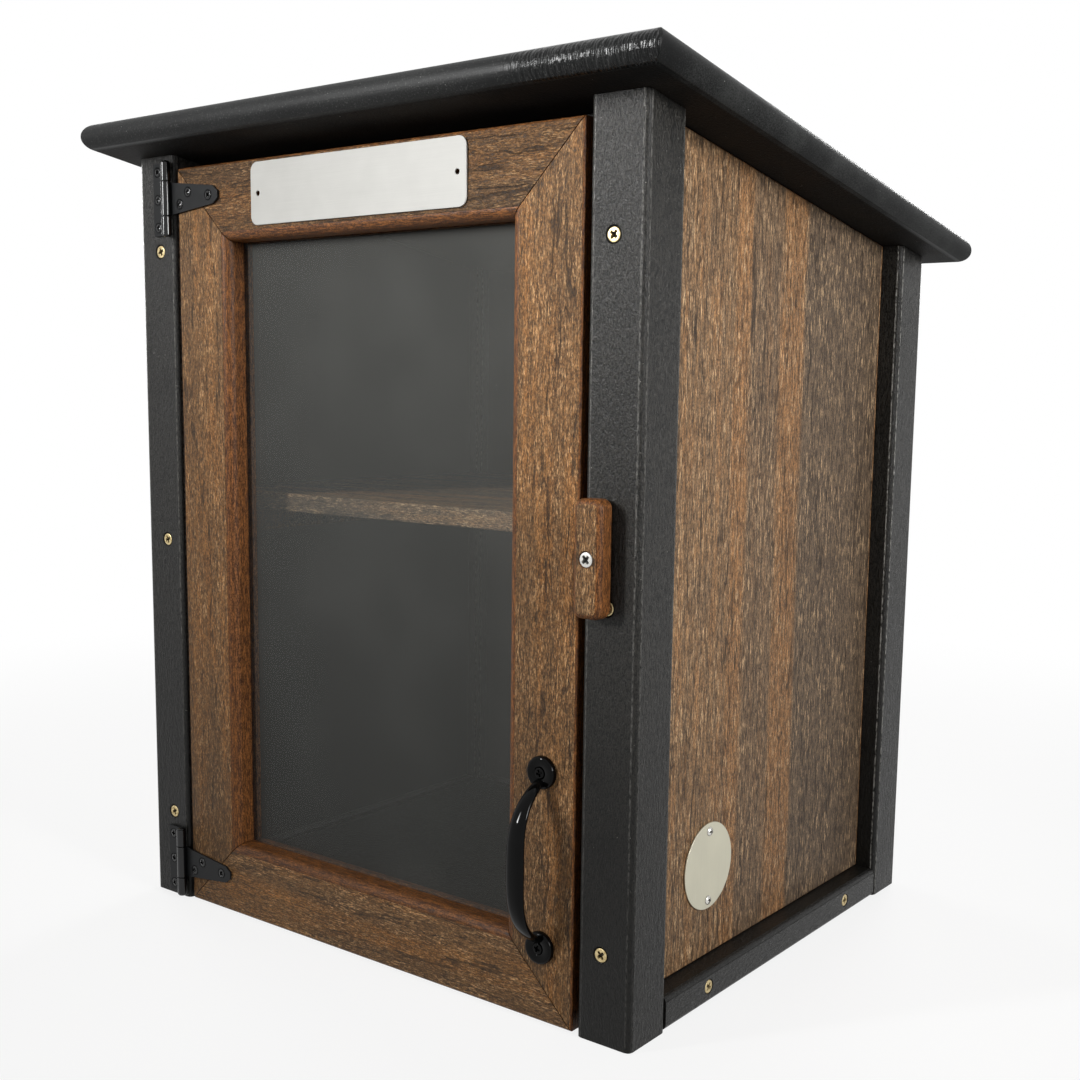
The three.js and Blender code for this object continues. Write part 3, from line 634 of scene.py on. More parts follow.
# %% Making, cutting and placing pieces
def solid_mesh(name, solid, grime_and_shade=None):
    """A closed mesh of points and faces. If given, a number for each point that darkens a finish: dirt and
    painted shade.
    """
    mesh = bpy.data.meshes.new(name)
    mesh.from_pydata(solid[0].tolist(), [], solid[1])
    if grime_and_shade is not None:
        mesh.attributes.new("grime_and_shade", "FLOAT", "POINT").data.foreach_set("value", grime_and_shade)
    tidy = bmesh.new()
    tidy.from_mesh(mesh)
    bmesh.ops.remove_doubles(tidy, verts=tidy.verts, dist=0.001 * MM)
    bmesh.ops.recalc_face_normals(tidy, faces=tidy.faces)
    tidy.to_mesh(mesh)
    tidy.free()
    return mesh


def cut_out(thing, tools):
    """Takes closed shapes out of an object, and keeps the result as its mesh."""
    drill = added("drill", solid_mesh("drill", together(*tools)))
    step = thing.modifiers.new("holes", "BOOLEAN")
    step.operation, step.solver, step.object = "DIFFERENCE", "EXACT", drill
    shaped = thing.evaluated_get(bpy.context.evaluated_depsgraph_get())
    mesh = bpy.data.meshes.new_from_object(shaped)
    thing.modifiers.clear()
    thing.data = mesh
    bpy.data.objects.remove(drill)


def piece(name, solid, finish, node=None, body=None, slot=None, tools=(), bevel=None, sharp=34, grime_and_shade=None):
    """Makes an object. It stands for a node, or else rides on a body. slot: not used."""
    thing = added(name, solid_mesh(name, solid, grime_and_shade))
    if tools:
        cut_out(thing, tools)
    thing.data.materials.clear()
    thing.data.materials.append(finish)
    thing.data.shade_smooth()
    thing.data.set_sharp_from_angle(angle=math.radians(sharp))
    if bevel:
        ease = thing.modifiers.new("eased edges", "BEVEL")
        ease.width, ease.segments, ease.limit_method = bevel * MM, 3, "ANGLE"
        ease.angle_limit = math.radians(40)
        ease.harden_normals = True
    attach(thing, node_body[node] if node else body)
    if node:
        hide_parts(node)
    return thing


def finish_node(node, finish):
    """A solid whose shape is right as it is only takes a finish."""
    materials = frame["nodes"][node].data.materials
    materials.clear()
    materials.append(finish)


print("pieces may ride on:", sorted(set(node_body.values())))

# %% [markdown]
# ## Screws
# Every screw has the same parts: a head, a cross recess to drive it, and a shank that is out of
# sight. The top of the head is a height over a round grid: a shallow dome less the cross, whose
# arms are long thin boxes with soft sides. The solid of each screw already says where it is, how
# wide its head is and which way it points, so one function serves them all.

# %% The shape of a screw
RECESS_LENGTH, RECESS_WIDTH, RECESS_DEPTH = 0.60, 0.21, 0.66
HEAD_ROWS, HEAD_SIDES = 18, 80


def soft_step(value, edge, blur):
    """1 well below the edge, 0 well above it, and a smooth slope of the given blur between."""
    share = np.clip((edge - value) / blur + 0.5, 0, 1)
    return share * share * (3 - 2 * share)


def screw_solid(radius, shank, length, dome, cone):
    """Height = dome (1 - r^2) - recess, for r from 0 to 1, then the cone, the shank and its end.
    Gives the solid and, for each point, how deep in the recess it lies, 0 to 1: dirt and painted shade there."""
    r = np.linspace(0, 1, HEAD_ROWS)[:, None] ** 0.8
    turn = np.linspace(0, 2 * np.pi, HEAD_SIDES, endpoint=False)[None, :]
    x, y = np.abs(r * np.cos(turn)), np.abs(r * np.sin(turn))
    width = RECESS_WIDTH * (1 - 0.45 * np.maximum(x, y))
    bars = [soft_step(a, RECESS_LENGTH, 0.10) * soft_step(b, width, 0.07) for a, b in ((x, y), (y, x))]
    recess = RECESS_DEPTH * np.maximum(*bars) * (1 - 0.55 * r)
    rim = 0.06 * np.clip((r - 0.90) / 0.10, 0, 1) ** 2
    height = dome * (1 - r * r) - radius * (recess + rim)
    head = np.stack([radius * r * np.cos(turn), radius * r * np.sin(turn), height], -1)
    skirt = [(shank, -cone), (shank, shank - length), (shank * 0.05, -length)]
    below = [
        np.column_stack([w * np.cos(turn[0]), w * np.sin(turn[0]), np.full(HEAD_SIDES, h)]) for w, h in skirt
    ]
    grime_and_shade = np.concatenate([np.maximum(*bars).ravel(), np.zeros(len(below) * HEAD_SIDES)])
    return swept(np.concatenate([head, below])), grime_and_shade


print("points on a head:", HEAD_ROWS * HEAD_SIDES)

# %% Every screw that the solids show
# The start of a name: the finish, then the shank's radius, the dome and the cone, in mm.
KINDS = {
    ("post_screw", "rail_screw"): (yellow_plate, 1.9, 0.10, 2.6),
    ("leaf_screw", "strap_screw"): (screw_black, 1.3, 0.35, 1.5),
    "handle_screw": (gloss_black, 1.7, 0.15, 2.0),
    "turn_button_screw": (bright_plate, 2.1, 0.20, 2.7),
    "badge_screw": (bright_plate, 1.2, 1.55, 0.4),
}
draw = np.random.default_rng(7)


def kind_of(node):
    """A screw's finish, shank, dome and cone, in metres."""
    finish, *sizes = next(row for starts, row in KINDS.items() if node.startswith(starts))
    return finish, *(size * MM for size in sizes)


def corners(node):
    """The low and the high corner of a solid's box, as arrays."""
    return [np.array(corner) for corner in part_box(node)]


def screw_frame(node):
    """The middle of a screw's head, the way it faces, its radius and its length. The axis is the
    longest side of its solid's box."""
    low, high = corners(node)
    axis = int(np.argmax(high - low))
    outward = np.zeros(3)
    outward[axis] = 1.0 if node.startswith(("rail_screw_right", "badge")) else -1.0
    top = np.where(outward > 0, high, np.where(outward < 0, low, (low + high) / 2))
    return top, outward, (high - low)[(axis + 1) % 3] / 2, (high - low)[axis]


def across_from(outward, angle):
    """Two directions square to the screw, turned round it by an angle."""
    side = np.cross([0, 0, 1], outward) if abs(outward[Z]) < 0.9 else np.array([1.0, 0, 0])
    up = np.cross(outward, side)
    return side * math.cos(angle) + up * math.sin(angle), up * math.cos(angle) - side * math.sin(angle)


def set_screw(name, top, outward, sizes, finish, **belongs):
    """Puts a screw at a place. sizes: what screw_solid takes. No two were driven home alike, so
    each cross stands at an angle drawn at random."""
    side, up = across_from(outward, draw.uniform(0, np.pi / 2))
    solid, grime_and_shade = screw_solid(*sizes)
    piece(name, laid(solid, top, side, up, outward), finish, grime_and_shade=grime_and_shade, **belongs)


def add_screw(node):
    """A screw in the place of its solid. A badge screw's tall dome stays inside that box too."""
    top, outward, radius, length = screw_frame(node)
    finish, shank, dome, cone = kind_of(node)
    standing = dome if node.startswith("badge") else 0.0
    sizes = (radius, shank, length - standing, dome, cone)
    set_screw(node + "_head", top - outward * standing, outward, sizes, finish, node=node)


def countersink(top, outward, radius, cone, lip, reach=9 * MM):
    """A drill for a hole with a cone at its mouth and a lip of room round the head."""
    side, up = across_from(outward, 0.0)
    profile = [(0, reach), (radius + lip, reach), (radius + lip, -0.25 * MM)]
    profile += [(radius * 0.45, -cone - 0.3 * MM), (radius * 0.45, -reach), (0, -reach)]
    return laid(turned(profile), top, side, up, outward)


screws = sorted(node for node in node_body if "_screw" in node)
for node in screws:
    add_screw(node)
print("screws:", len(screws))

# %% [markdown]
# ## Screws that the photograph can't show
# The back and the top must be held by something too. Those screws could be left out, but the box
# is seen from all sides, and a bare back looks glued. So the same flush brass heads are set into
# the rear posts, the back rail and the roof over the posts. They ride on the cabinet and stand for
# no solid.

# %% Screws at the back and on the roof
HIDDEN_RADIUS, HIDDEN_SHANK, HIDDEN_DOME, HIDDEN_CONE = 4.2 * MM, 1.9 * MM, 0.1 * MM, 2.6 * MM
SUNK, HIDDEN_LIP = 0.2 * MM, 0.7 * MM
HEIGHT_SHARES, RAIL_SHARE = (0.09, 0.42, 0.74), 0.35
REAR_LENGTH, ROOF_LENGTH, RAIL_LENGTH = 30 * MM, 17 * MM, 15 * MM
rear_face = rear_high.y
post_middle_x = post_high.x - POST_HALF
rail_low, rail_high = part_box("rear_rail")


def hidden_screw(name, top, outward, length):
    """Sets a screw into a face, and gives the drill for its hole."""
    top, outward = np.asarray(top, float), np.asarray(outward, float)
    sizes = (HIDDEN_RADIUS, HIDDEN_SHANK, length, HIDDEN_DOME, HIDDEN_CONE)
    set_screw(name, top - SUNK * outward, outward, sizes, yellow_plate, body="cabinet", slot="brass_screw")
    return countersink(top, outward, HIDDEN_RADIUS, HIDDEN_CONE, HIDDEN_LIP)


off_slope = np.array([0, math.sin(ROOF_ANGLE), math.cos(ROOF_ANGLE)])
back_drills, roof_drills, rail_drills = {"left": [], "right": []}, [], []
for side, x in (("left", post_middle_x), ("right", -post_middle_x)):
    for number, share in enumerate(HEIGHT_SHARES, 1):
        top = (x, rear_face, share * post_high.z)
        drill = hidden_screw(f"rear_screw_{side}_{number}", top, (0, 1, 0), REAR_LENGTH)
        back_drills[side].append(drill)
    for number, y in enumerate((front_y + POST_HALF, rear_face - POST_HALF), 1):
        top = np.array([x, y, eaves_z - SLOPE * (y - front_y)]) + ROOF_THICK * off_slope
        roof_drills.append(hidden_screw(f"roof_screw_{side}_{number}", top, off_slope, ROOF_LENGTH))
    top = (RAIL_SHARE * x, rail_high.y, (rail_low.z + rail_high.z) / 2)
    rail_drills.append(hidden_screw("rear_rail_screw_" + side, top, (0, 1, 0), RAIL_LENGTH))
print("screws at the back:", 2 * len(HEIGHT_SHARES) + len(rail_drills), "on the roof:", len(roof_drills))

# %% [markdown]
# ## Posts and rails
# A post is a square bar whose four long edges were rounded by a cutter that bit a hair deeper
# than the face, which leaves the fine line beside each round. A Bevel would round a box's edges
# but not step them, so the outline is drawn with the step in it and carried along the bar. The
# top is cut to the roof's slope: the height of the last ring depends on y. The holes for the
# yellow screws are open, because each head sits in a dark ring.

# %% Posts
BRASS_LIP = 1.1 * MM


def roof_line(y):
    """Height of the roof's underside at a distance back, less the seat."""
    return eaves_z - SLOPE * (y - front_y) - SEAT / math.cos(ROOF_ANGLE)


def screw_drills(start, lip, reach=9 * MM):
    """The drills for all screws whose names have the same start."""
    named = [node for node in screws if node.startswith(start)]
    return [countersink(*screw_frame(node)[:3], kind_of(node)[-1], lip, reach) for node in named]


def add_post(node, tools=()):
    """An upright bar: the outline at the floor, and again where it meets the roof."""
    low, high = corners(node)
    half = (high - low)[:2] / 2
    outline = rounded(*half, EDGE_ROUND, EDGE_STEP) + low[:2] + half
    foot = np.column_stack([outline, np.zeros(len(outline))])
    head = np.column_stack([outline, roof_line(outline[:, 1])])
    piece(node + "_bar", swept([foot, head]), black_upright, node=node, tools=tools, bevel=0.08)


for side in ("left", "right"):
    add_post("post_front_" + side, screw_drills("post_screw_" + side, BRASS_LIP))
    add_post("post_rear_" + side, back_drills[side])
print("posts, mm square:", round(2 * POST_HALF / MM, 1))

# %% Rails
def stood(outline, depths):
    """An outline in X and Z, stood up at each of some distances back, as a closed solid."""
    return swept([np.column_stack([outline[:, 0], np.full(len(outline), y), outline[:, 1]]) for y in depths])


def add_rail(node, tools=()):
    """A bar along Y whose outline lies in X and Z."""
    low, high = corners(node)
    half = (high - low)[[X, Z]] / 2
    outline = rounded(*half, EDGE_ROUND, EDGE_STEP) + low[[X, Z]] + half
    solid = stood(outline, (low[1], high[1]))
    piece(node + "_bar", solid, black_level, node=node, tools=tools, bevel=0.08)


for side in ("left", "right"):
    add_rail("side_rail_" + side, screw_drills("rail_screw_" + side, BRASS_LIP * 0.5))
print("holes in the side rails:", sum(node.startswith("rail_screw") for node in screws))

# %% [markdown]
# ## Flat boards
# Panels, shelf, floor and the hidden boards are plain boxes, some with a sloping top. The packed
# solids could show as they are, but real edges are never knife sharp. So each box gets a Bevel,
# and on the side panels that eased edge is where the orange core shows as a thin bright line.

# %% Flat boards
def board_solid(node, sloped=False):
    """A box between a node's two corners. A sloping top follows the roof."""
    low, high = corners(node)
    plan = np.array([[low[0], low[1]], [high[0], low[1]], [high[0], high[1]], [low[0], high[1]]])
    top = roof_line(plan[:, 1]) if sloped else np.full(4, high[2])
    return swept([np.column_stack([plan, np.full(4, low[2])]), np.column_stack([plan, top])])


# Node, finish, whether its top slopes, and the width of its eased edge in mm.
boards = [
    ("side_panel_left", board_panel, True, 1.3),
    ("side_panel_right", board_panel, True, 1.3),
    ("back_panel", black_sheet, True, 1.0),
    ("front_header", black_across, True, 0.8),
    ("floor_panel", black_across, False, 0.8),
    ("rear_rail", black_across, False, 2.0),
    ("shelf", board_shelf, False, 1.0),
    ("shelf_cleat_left", board_shelf, False, 0.8),
    ("shelf_cleat_right", board_shelf, False, 0.8),
]
for node, finish, sloped, ease in boards:
    drills = rail_drills if node == "rear_rail" else ()
    piece(node + "_board", board_solid(node, sloped), finish, node=node, tools=drills, bevel=ease)
print("flat boards:", len(boards))

# %% [markdown]
# ## The roof
# The roof is one thick board with a fully rounded rim and square corners. A Bevel could round it,
# but a stack of rectangles drawn in along a half circle gives the round exactly. The board lies
# on the slope, so its own y and z axes are tilted.

# %% The roof board
RIM_STEPS = 36
side_overhang = half_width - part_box("post_front_right")[1].x
BACK_OVERHANG = 24.3 * MM
reach_back = (rear_high.y - front_y) / math.cos(ROOF_ANGLE) + BACK_OVERHANG
tilt = np.linspace(-1, 1, RIM_STEPS + 1) * np.pi / 2
inset = ROOF_THICK / 2 * (1 - np.cos(tilt))
level = ROOF_THICK / 2 * (1 + np.sin(tilt))
corner_x = np.stack([-half_width + inset, half_width - inset, half_width - inset, -half_width + inset], 1)
corner_y = np.stack([inset - REACH_FRONT, inset - REACH_FRONT, reach_back - inset, reach_back - inset], 1)
roof_rings = np.stack([corner_x, corner_y, level[:, None] + 0 * corner_x], -1)
down_slope = (0, math.cos(ROOF_ANGLE), -math.sin(ROOF_ANGLE))
roof_solid = laid(swept(roof_rings), (0, front_y, eaves_z), along_y=down_slope, along_z=off_slope)
piece("roof_board_rounded", roof_solid, black_roof, node="roof_board", tools=roof_drills)
print("roof side overhang:", round(side_overhang / MM, 1), "mm")

# %% [markdown]
# ## The door frame
# Four members share one section: a flat face, a small round at the outer edge, a larger one at
# the window, and a groove for the pane. Long bars could be cut at 45 degrees with a Boolean, but
# the outline gives the mitre for free: a point that lies w in from the outer edge also stops w
# short of each end.

# %% Door members
pane_low, pane_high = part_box("door_pane")
stile_low, stile_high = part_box("door_stile_hinge")
MEMBER_WIDE = stile_high.x - stile_low.x
MEMBER_THICK = stile_high.y - stile_low.y
OUTER_ROUND, WINDOW_ROUND, MITRE_GAP = 2.0 * MM, 6.35 * MM, 0.38 * MM
GROOVE_DEPTH, GROOVE_ROOM = 7.0 * MM, 0.3 * MM
SIGN_HOLE, SIGN_HOLE_INSET, SIGN_HOLE_REACH = 1.7 * MM, 7 * MM, 8 * MM


def member_outline():
    """Outline in (w, d): w in from the outer edge, d back from the face."""
    groove_front = pane_low.y - front_y - GROOVE_ROOM
    groove_back = pane_high.y - front_y + GROOVE_ROOM
    groove_floor = MEMBER_WIDE - GROOVE_DEPTH
    points = [
        arc((MEMBER_WIDE - WINDOW_ROUND, WINDOW_ROUND + EDGE_STEP), WINDOW_ROUND, -1, 0, 14),
        [(MEMBER_WIDE, groove_front), (groove_floor, groove_front)],
        [(groove_floor, groove_back), (MEMBER_WIDE, groove_back), (MEMBER_WIDE, MEMBER_THICK)],
        arc((OUTER_ROUND, MEMBER_THICK - OUTER_ROUND), OUTER_ROUND, 1, 2),
        arc((OUTER_ROUND, OUTER_ROUND), OUTER_ROUND, 2, 3),
        [(MEMBER_WIDE - WINDOW_ROUND, 0)],
    ]
    return np.concatenate([np.asarray(part, float) for part in points])


def add_member(node, finish, corner, inward, along_edge, length, tools=()):
    """The outline carried along one edge of the door, from a corner, with both ends mitred."""
    outline = member_outline()
    stops = (outline[:, 0] + MITRE_GAP, length - outline[:, 0] - MITRE_GAP)
    rings = [np.column_stack([outline, stop]) for stop in stops]
    solid = laid(swept(rings), (corner[0], front_y, corner[1]), inward, (0, 1, 0), along_edge)
    piece(node + "_member", solid, finish, node=node, tools=tools, bevel=0.5, sharp=50)


sign_low, sign_high = corners("sign_plate")
sign_half, sign_middle = (sign_high - sign_low) / 2, (sign_high + sign_low) / 2
hole_reach = np.array([sign_half[0] - SIGN_HOLE_INSET, 0, 0])
sign_drills = [
    laid(rod(SIGN_HOLE, -SIGN_HOLE_REACH, SIGN_HOLE_REACH, 32), middle, (1, 0, 0), (0, 0, -1), (0, 1, 0))
    for middle in (sign_middle - hole_reach, sign_middle + hole_reach)
]

door_left, door_right = stile_low.x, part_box("door_stile_latch")[1].x
door_foot, door_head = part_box("door_rail_bottom")[0].z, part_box("door_rail_top")[1].z
door_wide, door_tall = door_right - door_left, door_head - door_foot
# Node, finish, corner (x, z), the way inward, the way along, and the length.
members = [
    ("door_stile_hinge", board_upright, (door_left, door_foot), (1, 0, 0), (0, 0, 1), door_tall),
    ("door_stile_latch", board_upright, (door_right, door_head), (-1, 0, 0), (0, 0, -1), door_tall),
    ("door_rail_top", board_head_painted_shade, (door_left, door_head), (0, 0, -1), (1, 0, 0), door_wide, sign_drills),
    ("door_rail_bottom", board_foot_painted_light, (door_right, door_foot), (0, 0, 1), (-1, 0, 0), door_wide),
]
for member in members:
    add_member(*member)
finish_node("door_pane", pane_finish)
print("door:", round(door_wide / MM, 1), "x", round(door_tall / MM, 1), "mm")

# %% [markdown]
# ## The hinges
# A T hinge is two stamped plates whose edges are rolled round one pin. A sheet bent round the pin
# would be truer, but only the outside of the rolls is seen. So each plate is a flat outline pushed
# to its thickness and drilled for its screws, and its knuckles are round bars of their own. A
# small bevel gives the pressed edge that catches the light.

# %% Hinges
PLATE, BARREL, BARREL_EASE, NOTCH_GAP, KNUCKLE_GAP = 1.5 * MM, 3.5 * MM, 0.35 * MM, 4.0 * MM, 0.5 * MM
KNUCKLE_TALL = 23.5 * MM
HINGE_LIP = 0.8 * MM
STRAP_ROOT, STRAP_SHOULDER, STRAP_TIP, STRAP_SLANT = 11.3 * MM, 6.0 * MM, 2.3 * MM, 4.9 * MM
PIN_RADIUS, PIN_CAP = 1.6 * MM, 0.9 * MM


def barrel(low, high):
    """A round bar on the pin's axis with eased ends."""
    end, side = BARREL - BARREL_EASE, [(BARREL, low + BARREL_EASE), (BARREL, high - BARREL_EASE)]
    return turned([(0, low), (end, low), *side, (end, high), (0, high)], 64)


def leaf_and_strap(end, middle, half, notch):
    """The two plates' outlines in X and Z. The leaf has a notch where the strap's knuckle turns,
    and the strap narrows to a blunt point."""
    leaf_left = corners("hinge_leaf_" + end)[0][0] - middle[0]
    reach = corners("hinge_strap_" + end)[1][0] - middle[0]
    shoulder = reach - STRAP_SLANT
    leaf = [(leaf_left, -half), (0, -half), (0, -notch), (-NOTCH_GAP, -notch)]
    leaf += [(-NOTCH_GAP, notch), (0, notch), (0, half), (leaf_left, half)]
    strap = [(0, -STRAP_ROOT), (shoulder, -STRAP_SHOULDER), (reach, -STRAP_TIP)]
    strap += [(reach, STRAP_TIP), (shoulder, STRAP_SHOULDER), (0, STRAP_ROOT)]
    return {"leaf": np.array(leaf) + middle[[X, Z]], "strap": np.array(strap) + middle[[X, Z]]}


def hinge_parts(end):
    """Two drilled plates, the leaf's and the strap's knuckles, and the pin with its domed ends."""
    pin_low, pin_high = corners("hinge_pin_" + end)
    leaf_low, leaf_high = corners("hinge_leaf_" + end)
    middle, top = (pin_low + pin_high) / 2, (pin_high[2] - pin_low[2]) / 2
    half, notch = (leaf_high[2] - leaf_low[2]) / 2, (KNUCKLE_TALL + KNUCKLE_GAP) / 2
    plate_front = middle[1] + BARREL - PLATE
    for part, outline in leaf_and_strap(end, middle, half, notch).items():
        name, plate = f"hinge_{part}_plate_{end}", stood(outline, (plate_front, plate_front + PLATE))
        drills = screw_drills(f"{part}_screw_{end}", HINGE_LIP)
        piece(name, plate, satin_black, node=f"hinge_{part}_{end}", tools=drills, bevel=0.25)
    knuckles = together(barrel(-half, -notch), barrel(notch, half))
    piece("hinge_leaf_barrel_" + end, laid(knuckles, middle), sleek_black, body="cabinet", slot="black_steel")
    inner = barrel(-KNUCKLE_TALL / 2 + KNUCKLE_GAP / 2, KNUCKLE_TALL / 2 - KNUCKLE_GAP / 2)
    piece("hinge_strap_barrel_" + end, laid(inner, middle), sleek_black, body="door", slot="black_steel")
    bend = np.linspace(0, np.pi / 2, 8)
    dome_radius, dome_height = (pin_high[0] - pin_low[0]) / 2 * np.cos(bend), PIN_CAP * np.sin(bend)
    dome = np.column_stack([dome_radius, top - PIN_CAP + dome_height])
    shaft = [(PIN_RADIUS, -top + PIN_CAP), (PIN_RADIUS, top - PIN_CAP)]
    profile = np.concatenate([dome[::-1] * (1, -1), shaft, dome])
    piece("hinge_pin_domed_" + end, laid(turned(profile, 40), middle), sleek_black, node="hinge_pin_" + end)


for end in ("upper", "lower"):
    hinge_parts(end)
print("strap, mm wide at its root and tip:", 2 * STRAP_ROOT / MM, 2 * STRAP_TIP / MM)

# %% [markdown]
# ## The pull handle
# The handle is cast: two round feet and a bow that swells towards its middle. A curve with depth
# would give a round tube, so the sections are worked out instead: wide and shallow, flatter at the
# back and crowned at the front. The bow's middle line stands out by (1 - |s|^3.5)^0.85 of its
# reach, where s runs from -1 to 1 between the roots: it leaves each foot steeply, then runs flat.

# %% Pull handle
handle_low, handle_high = corners("pull_handle")
handle_x, handle_z = ((handle_low + handle_high) / 2)[[X, Z]]
FOOT_RADIUS, FOOT_TALL, FOOT_BACK = 10.0 * MM, 4.2 * MM, 0.3 * MM
FOOT_ROUND, FOOT_HOLE, FOOT_EASE = 1.9 * MM, 2.1 * MM, 0.3 * MM
DISH = [(4.4 * MM, 0.25 * MM), (3.9 * MM, 0.5 * MM), (FOOT_HOLE, 2.6 * MM)]
foot_pitch = handle_high[2] - handle_low[2] - 2 * FOOT_RADIUS
BOW_ROWS, BOW_SIDES = 120, 40
ROOT_INSET, ROOT_REACH, BOW_REACH = 5.5 * MM, 2.6 * MM, 25.8 * MM
BOW_FLAT, BOW_STEEP = 3.5, 0.85
ROOT_WIDE, MIDDLE_WIDE = 6.6 * MM, 13.0 * MM
ROOT_THICK, MIDDLE_THICK = 4.4 * MM, 5.8 * MM
BACK_FLAT = 0.8


def bow():
    """Sections carried along the middle line: wide across X, thin along the line's normal."""
    s = np.sin(np.linspace(-1, 1, BOW_ROWS) * np.pi / 2)
    stand = (1 - np.abs(s) ** BOW_FLAT) ** BOW_STEEP
    line = np.column_stack([-ROOT_REACH - stand * (BOW_REACH - ROOT_REACH), s * (foot_pitch / 2 - ROOT_INSET)])
    travel = np.gradient(line, axis=0)
    travel /= np.linalg.norm(travel, axis=1)[:, None]
    outward = np.column_stack([-travel[:, 1], travel[:, 0]])
    run = np.concatenate([[0], np.cumsum(np.linalg.norm(np.diff(line, axis=0), axis=1))])
    swell = np.sin(np.pi * run / run[-1])[:, None]
    half_wide = (ROOT_WIDE + (MIDDLE_WIDE - ROOT_WIDE) * swell) / 2
    half_thick = (ROOT_THICK + (MIDDLE_THICK - ROOT_THICK) * swell) / 2
    turn = np.linspace(0, 2 * np.pi, BOW_SIDES, endpoint=False)[None, :]
    across = half_wide * np.sign(np.cos(turn)) * np.abs(np.cos(turn)) ** 0.85
    lift = half_thick * np.sin(turn) * np.where(np.sin(turn) > 0, 1.0, BACK_FLAT)
    y, z = (line[:, [axis]] + lift * outward[:, [axis]] for axis in (0, 1))
    return swept(np.stack([across, y, z], -1))


def foot(z):
    """A lathe profile with a rounded rim, a shallow dish and the screw's hole through it."""
    start = (FOOT_HOLE, FOOT_BACK)
    back = [start, (FOOT_RADIUS - FOOT_EASE, FOOT_BACK), (FOOT_RADIUS, FOOT_BACK + FOOT_EASE)]
    rim = arc((FOOT_RADIUS - FOOT_ROUND, FOOT_TALL - FOOT_ROUND), FOOT_ROUND, 0, 1, 10)
    dish = [(radius, FOOT_TALL - depth) for radius, depth in DISH]
    points, faces = turned(np.concatenate([back, rim, dish, [start]]), 64)
    return laid((points, faces[:-2]), (0, 0, z), (1, 0, 0), (0, 0, 1), (0, -1, 0))


handle = laid(together(bow(), foot(foot_pitch / 2), foot(-foot_pitch / 2)), (handle_x, front_y, handle_z))
piece("pull_handle_cast", handle, gloss_black, node="pull_handle", sharp=40)
print("handle feet apart:", round(foot_pitch / MM, 1), "mm")

# %% [markdown]
# ## The turn button
# A block of brown board with every edge well rounded, held by one screw. A Bevel would give all
# edges one round, but here the corners are rounder than the faces' edges. So an outline with round
# corners shrinks inwards as it nears the front and back faces, along a quarter circle. Turned
# level it holds the door shut; here it stands upright, and its grain runs along its length.

# %% Turn button
button_low, button_high = corners("turn_button")
button_half, button_middle = (button_high - button_low) / 2, (button_high + button_low) / 2
BUTTON_ROUND, BUTTON_CORNER, BUTTON_LIP, BUTTON_REACH = 3.9 * MM, 5.4 * MM, 0.6 * MM, 16 * MM


def button_solid():
    """A stack of round-cornered outlines: at a bend t from the face each is drawn in by 1 - cos t
    of the round, and lies 1 - sin t of it behind the face. The back half mirrors the front."""
    bend = np.linspace(np.pi / 2, 0, 10)
    drawn_in = (1 - np.cos(bend)) * BUTTON_ROUND
    depth = -button_half[1] + (1 - np.sin(bend)) * BUTTON_ROUND
    stack = []
    for inset, y in zip([*drawn_in, *drawn_in[::-1]], [*depth, *-depth[::-1]]):
        outline = rounded(button_half[0] - inset, button_half[2] - inset, BUTTON_CORNER - inset * 0.9)
        stack.append(np.insert(outline, 1, y, axis=1) + button_middle)
    return swept(stack)


def inside_button(f):
    """Distance in mm to the nearer one of the button's front and back planes."""
    return (float(button_half[1]) - abs(f.y - float(button_middle[1]))) / MM


board_button = brown_board("brown_board_button", Z, inside_button, seed=83)
button_drills = screw_drills("turn_button_screw", BUTTON_LIP, BUTTON_REACH)
piece("turn_button_block", button_solid(), board_button, node="turn_button", tools=button_drills)
print("turn button:", np.round(2 * button_half / MM, 1))

# %% [markdown]
# ## The plates
# The plate on the door and the round one on the side are left bare. A flat patch in another
# finish would do from afar, but a pressed edge shows a hairline of light, so both are thin solids
# of brushed metal with a small bevel. The door's plate has two holes, made by the same drills
# that went into the wood behind it.

# %% Bare plates
SIGN_CORNER = 6 * MM
sign_outline = rounded(sign_half[0], sign_half[2], SIGN_CORNER) + sign_middle[[X, Z]]
sign = stood(sign_outline, (sign_low[1], sign_high[1]))
piece("sign_plate_bare", sign, sign_metal, node="sign_plate", tools=sign_drills, bevel=0.3)

badge_low, badge_high = corners("badge_plate")
half_thick, radius = ((badge_high - badge_low) / 2)[[X, Z]]
disc = rod(radius, -half_thick, half_thick, 96)
badge = laid(disc, (badge_low + badge_high) / 2, (0, 1, 0), (0, 0, 1), (1, 0, 0))
piece("badge_plate_bare", badge, badge_metal, node="badge_plate", bevel=0.3)
print("plates:", np.round(2 * sign_half / MM, 1), round(2 * radius / MM, 1))

# %% [markdown]
# ## Floor, backdrop and light
# The box stands on a pale floor that melts into a white backdrop. The floor is a plain disc: near
# the box it is a matt surface that keeps the shadow, and further out it turns into the backdrop's
# own white. Brighter lamps could whiten both, but would bleach the box, so instead they are white
# only to the rays that see them. The light is soft and plain: a broad lamp above, one at each
# side, one behind, a narrow one in front that draws a line of light on the fittings, and a dim
# sky, at a level where a colour renders about as it was written.

# %% Floor and backdrop
SKY_LIGHT = (0.17, 0.17, 0.175, 1.0)
WHITE = (1.0, 1.0, 1.0, 1.0)


def seen_share(f):
    """1 for the rays that see the stage itself: straight, in a mirror or through the pane."""
    straight, mirrored, through = (
        f.node("ShaderNodeLightPath", output=ray)
        for ray in ("Is Camera Ray", "Is Glossy Ray", "Is Transmission Ray")
    )
    return f.math("MAXIMUM", f.math("MAXIMUM", straight, mirrored), through)


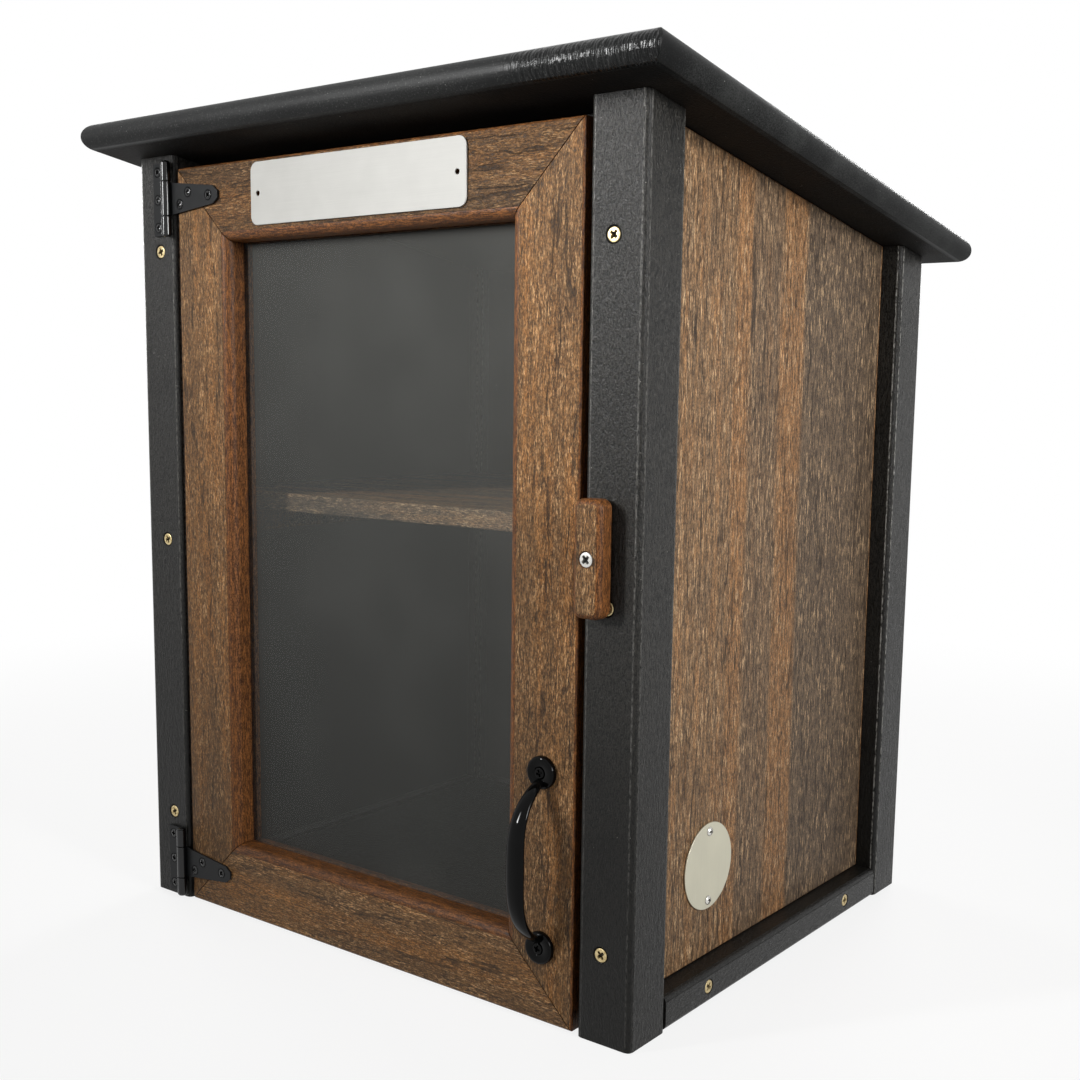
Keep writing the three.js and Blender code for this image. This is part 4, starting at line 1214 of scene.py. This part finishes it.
def floor_finish():
    """Matt near the box, and the backdrop's white from 1.3 m on."""
    f = Finish("pale_floor")
    seen = seen_share(f)
    matt = f.node("ShaderNodeBsdfDiffuse", values=[f.mix(seen, rgb(66, 66, 66), rgb(240, 240, 238))])
    white = f.node("ShaderNodeEmission", values=[WHITE, 1.0])
    away = f.node("ShaderNodeVectorMath", {"operation": "LENGTH"}, [f.place], output="Value")
    share = seen * (0.84 + 0.16 * f.rise(away, 0.45, 1.3))
    return f.end(f.blend(share, matt, white))


FLOOR_RADIUS, FLOOR_THICK, FLOOR_TOP = 4.0, 0.01, -0.0005
disc = rod(FLOOR_RADIUS, -FLOOR_THICK, 0, 96)
floor = added("pale_floor", solid_mesh("pale_floor", laid(disc, (0, 0, FLOOR_TOP))))
floor.data.materials.append(floor_finish())

world = bpy.data.worlds.new("studio")
bpy.context.scene.world = world
sky = Finish("studio", owner=world)
backdrop = sky.node("ShaderNodeBackground", values=[sky.mix(seen_share(sky), SKY_LIGHT, WHITE)])
sky.node("ShaderNodeOutputWorld", values=[backdrop])
print("floor and backdrop:", floor.name, world.name)

# %% Lamps
def add_lamp(name, place, target, size, power, spread=180):
    """A flat lamp of some width and height that looks at a target. A small spread, in degrees,
    keeps its light near there."""
    lamp = bpy.data.lights.new(name, "AREA")
    lamp.shape = "RECTANGLE"
    (lamp.size, lamp.size_y), lamp.energy, lamp.spread = size, power, math.radians(spread)
    thing = added(name, lamp)
    thing.location = place
    thing.rotation_mode = "QUATERNION"
    thing.rotation_quaternion = (Vector(target) - Vector(place)).to_track_quat("-Z", "Y")
    thing.visible_camera = False


# Name, place, target, width and height, watts, and spread.
lamps = [
    ("front_lamp", (-0.6, -1.35, 0.95), (0.14, -0.2, 0.64), (0.13, 0.7), 2.8, 50),
    ("side_lamp", (1.5, -0.34, 0.75), (0.2, -0.12, 0.44), (0.28, 0.5), 2.2, 60),
    ("left_lamp", (-1.7, 0.50, 0.75), (-0.2, 0.05, 0.36), (0.7, 0.7), 2.6, 64),
    ("back_lamp", (-0.4, 2.0, 0.9), (0, 0.2, 0.3), (0.8, 0.8), 5.0, 64),
    ("top_lamp", (0.1, 0.3, 2.4), (0, 0, 0.3), (1.4, 1.4), 8.5),
]
for lamp in lamps:
    add_lamp(*lamp)
print("lamps:", len(lamps))
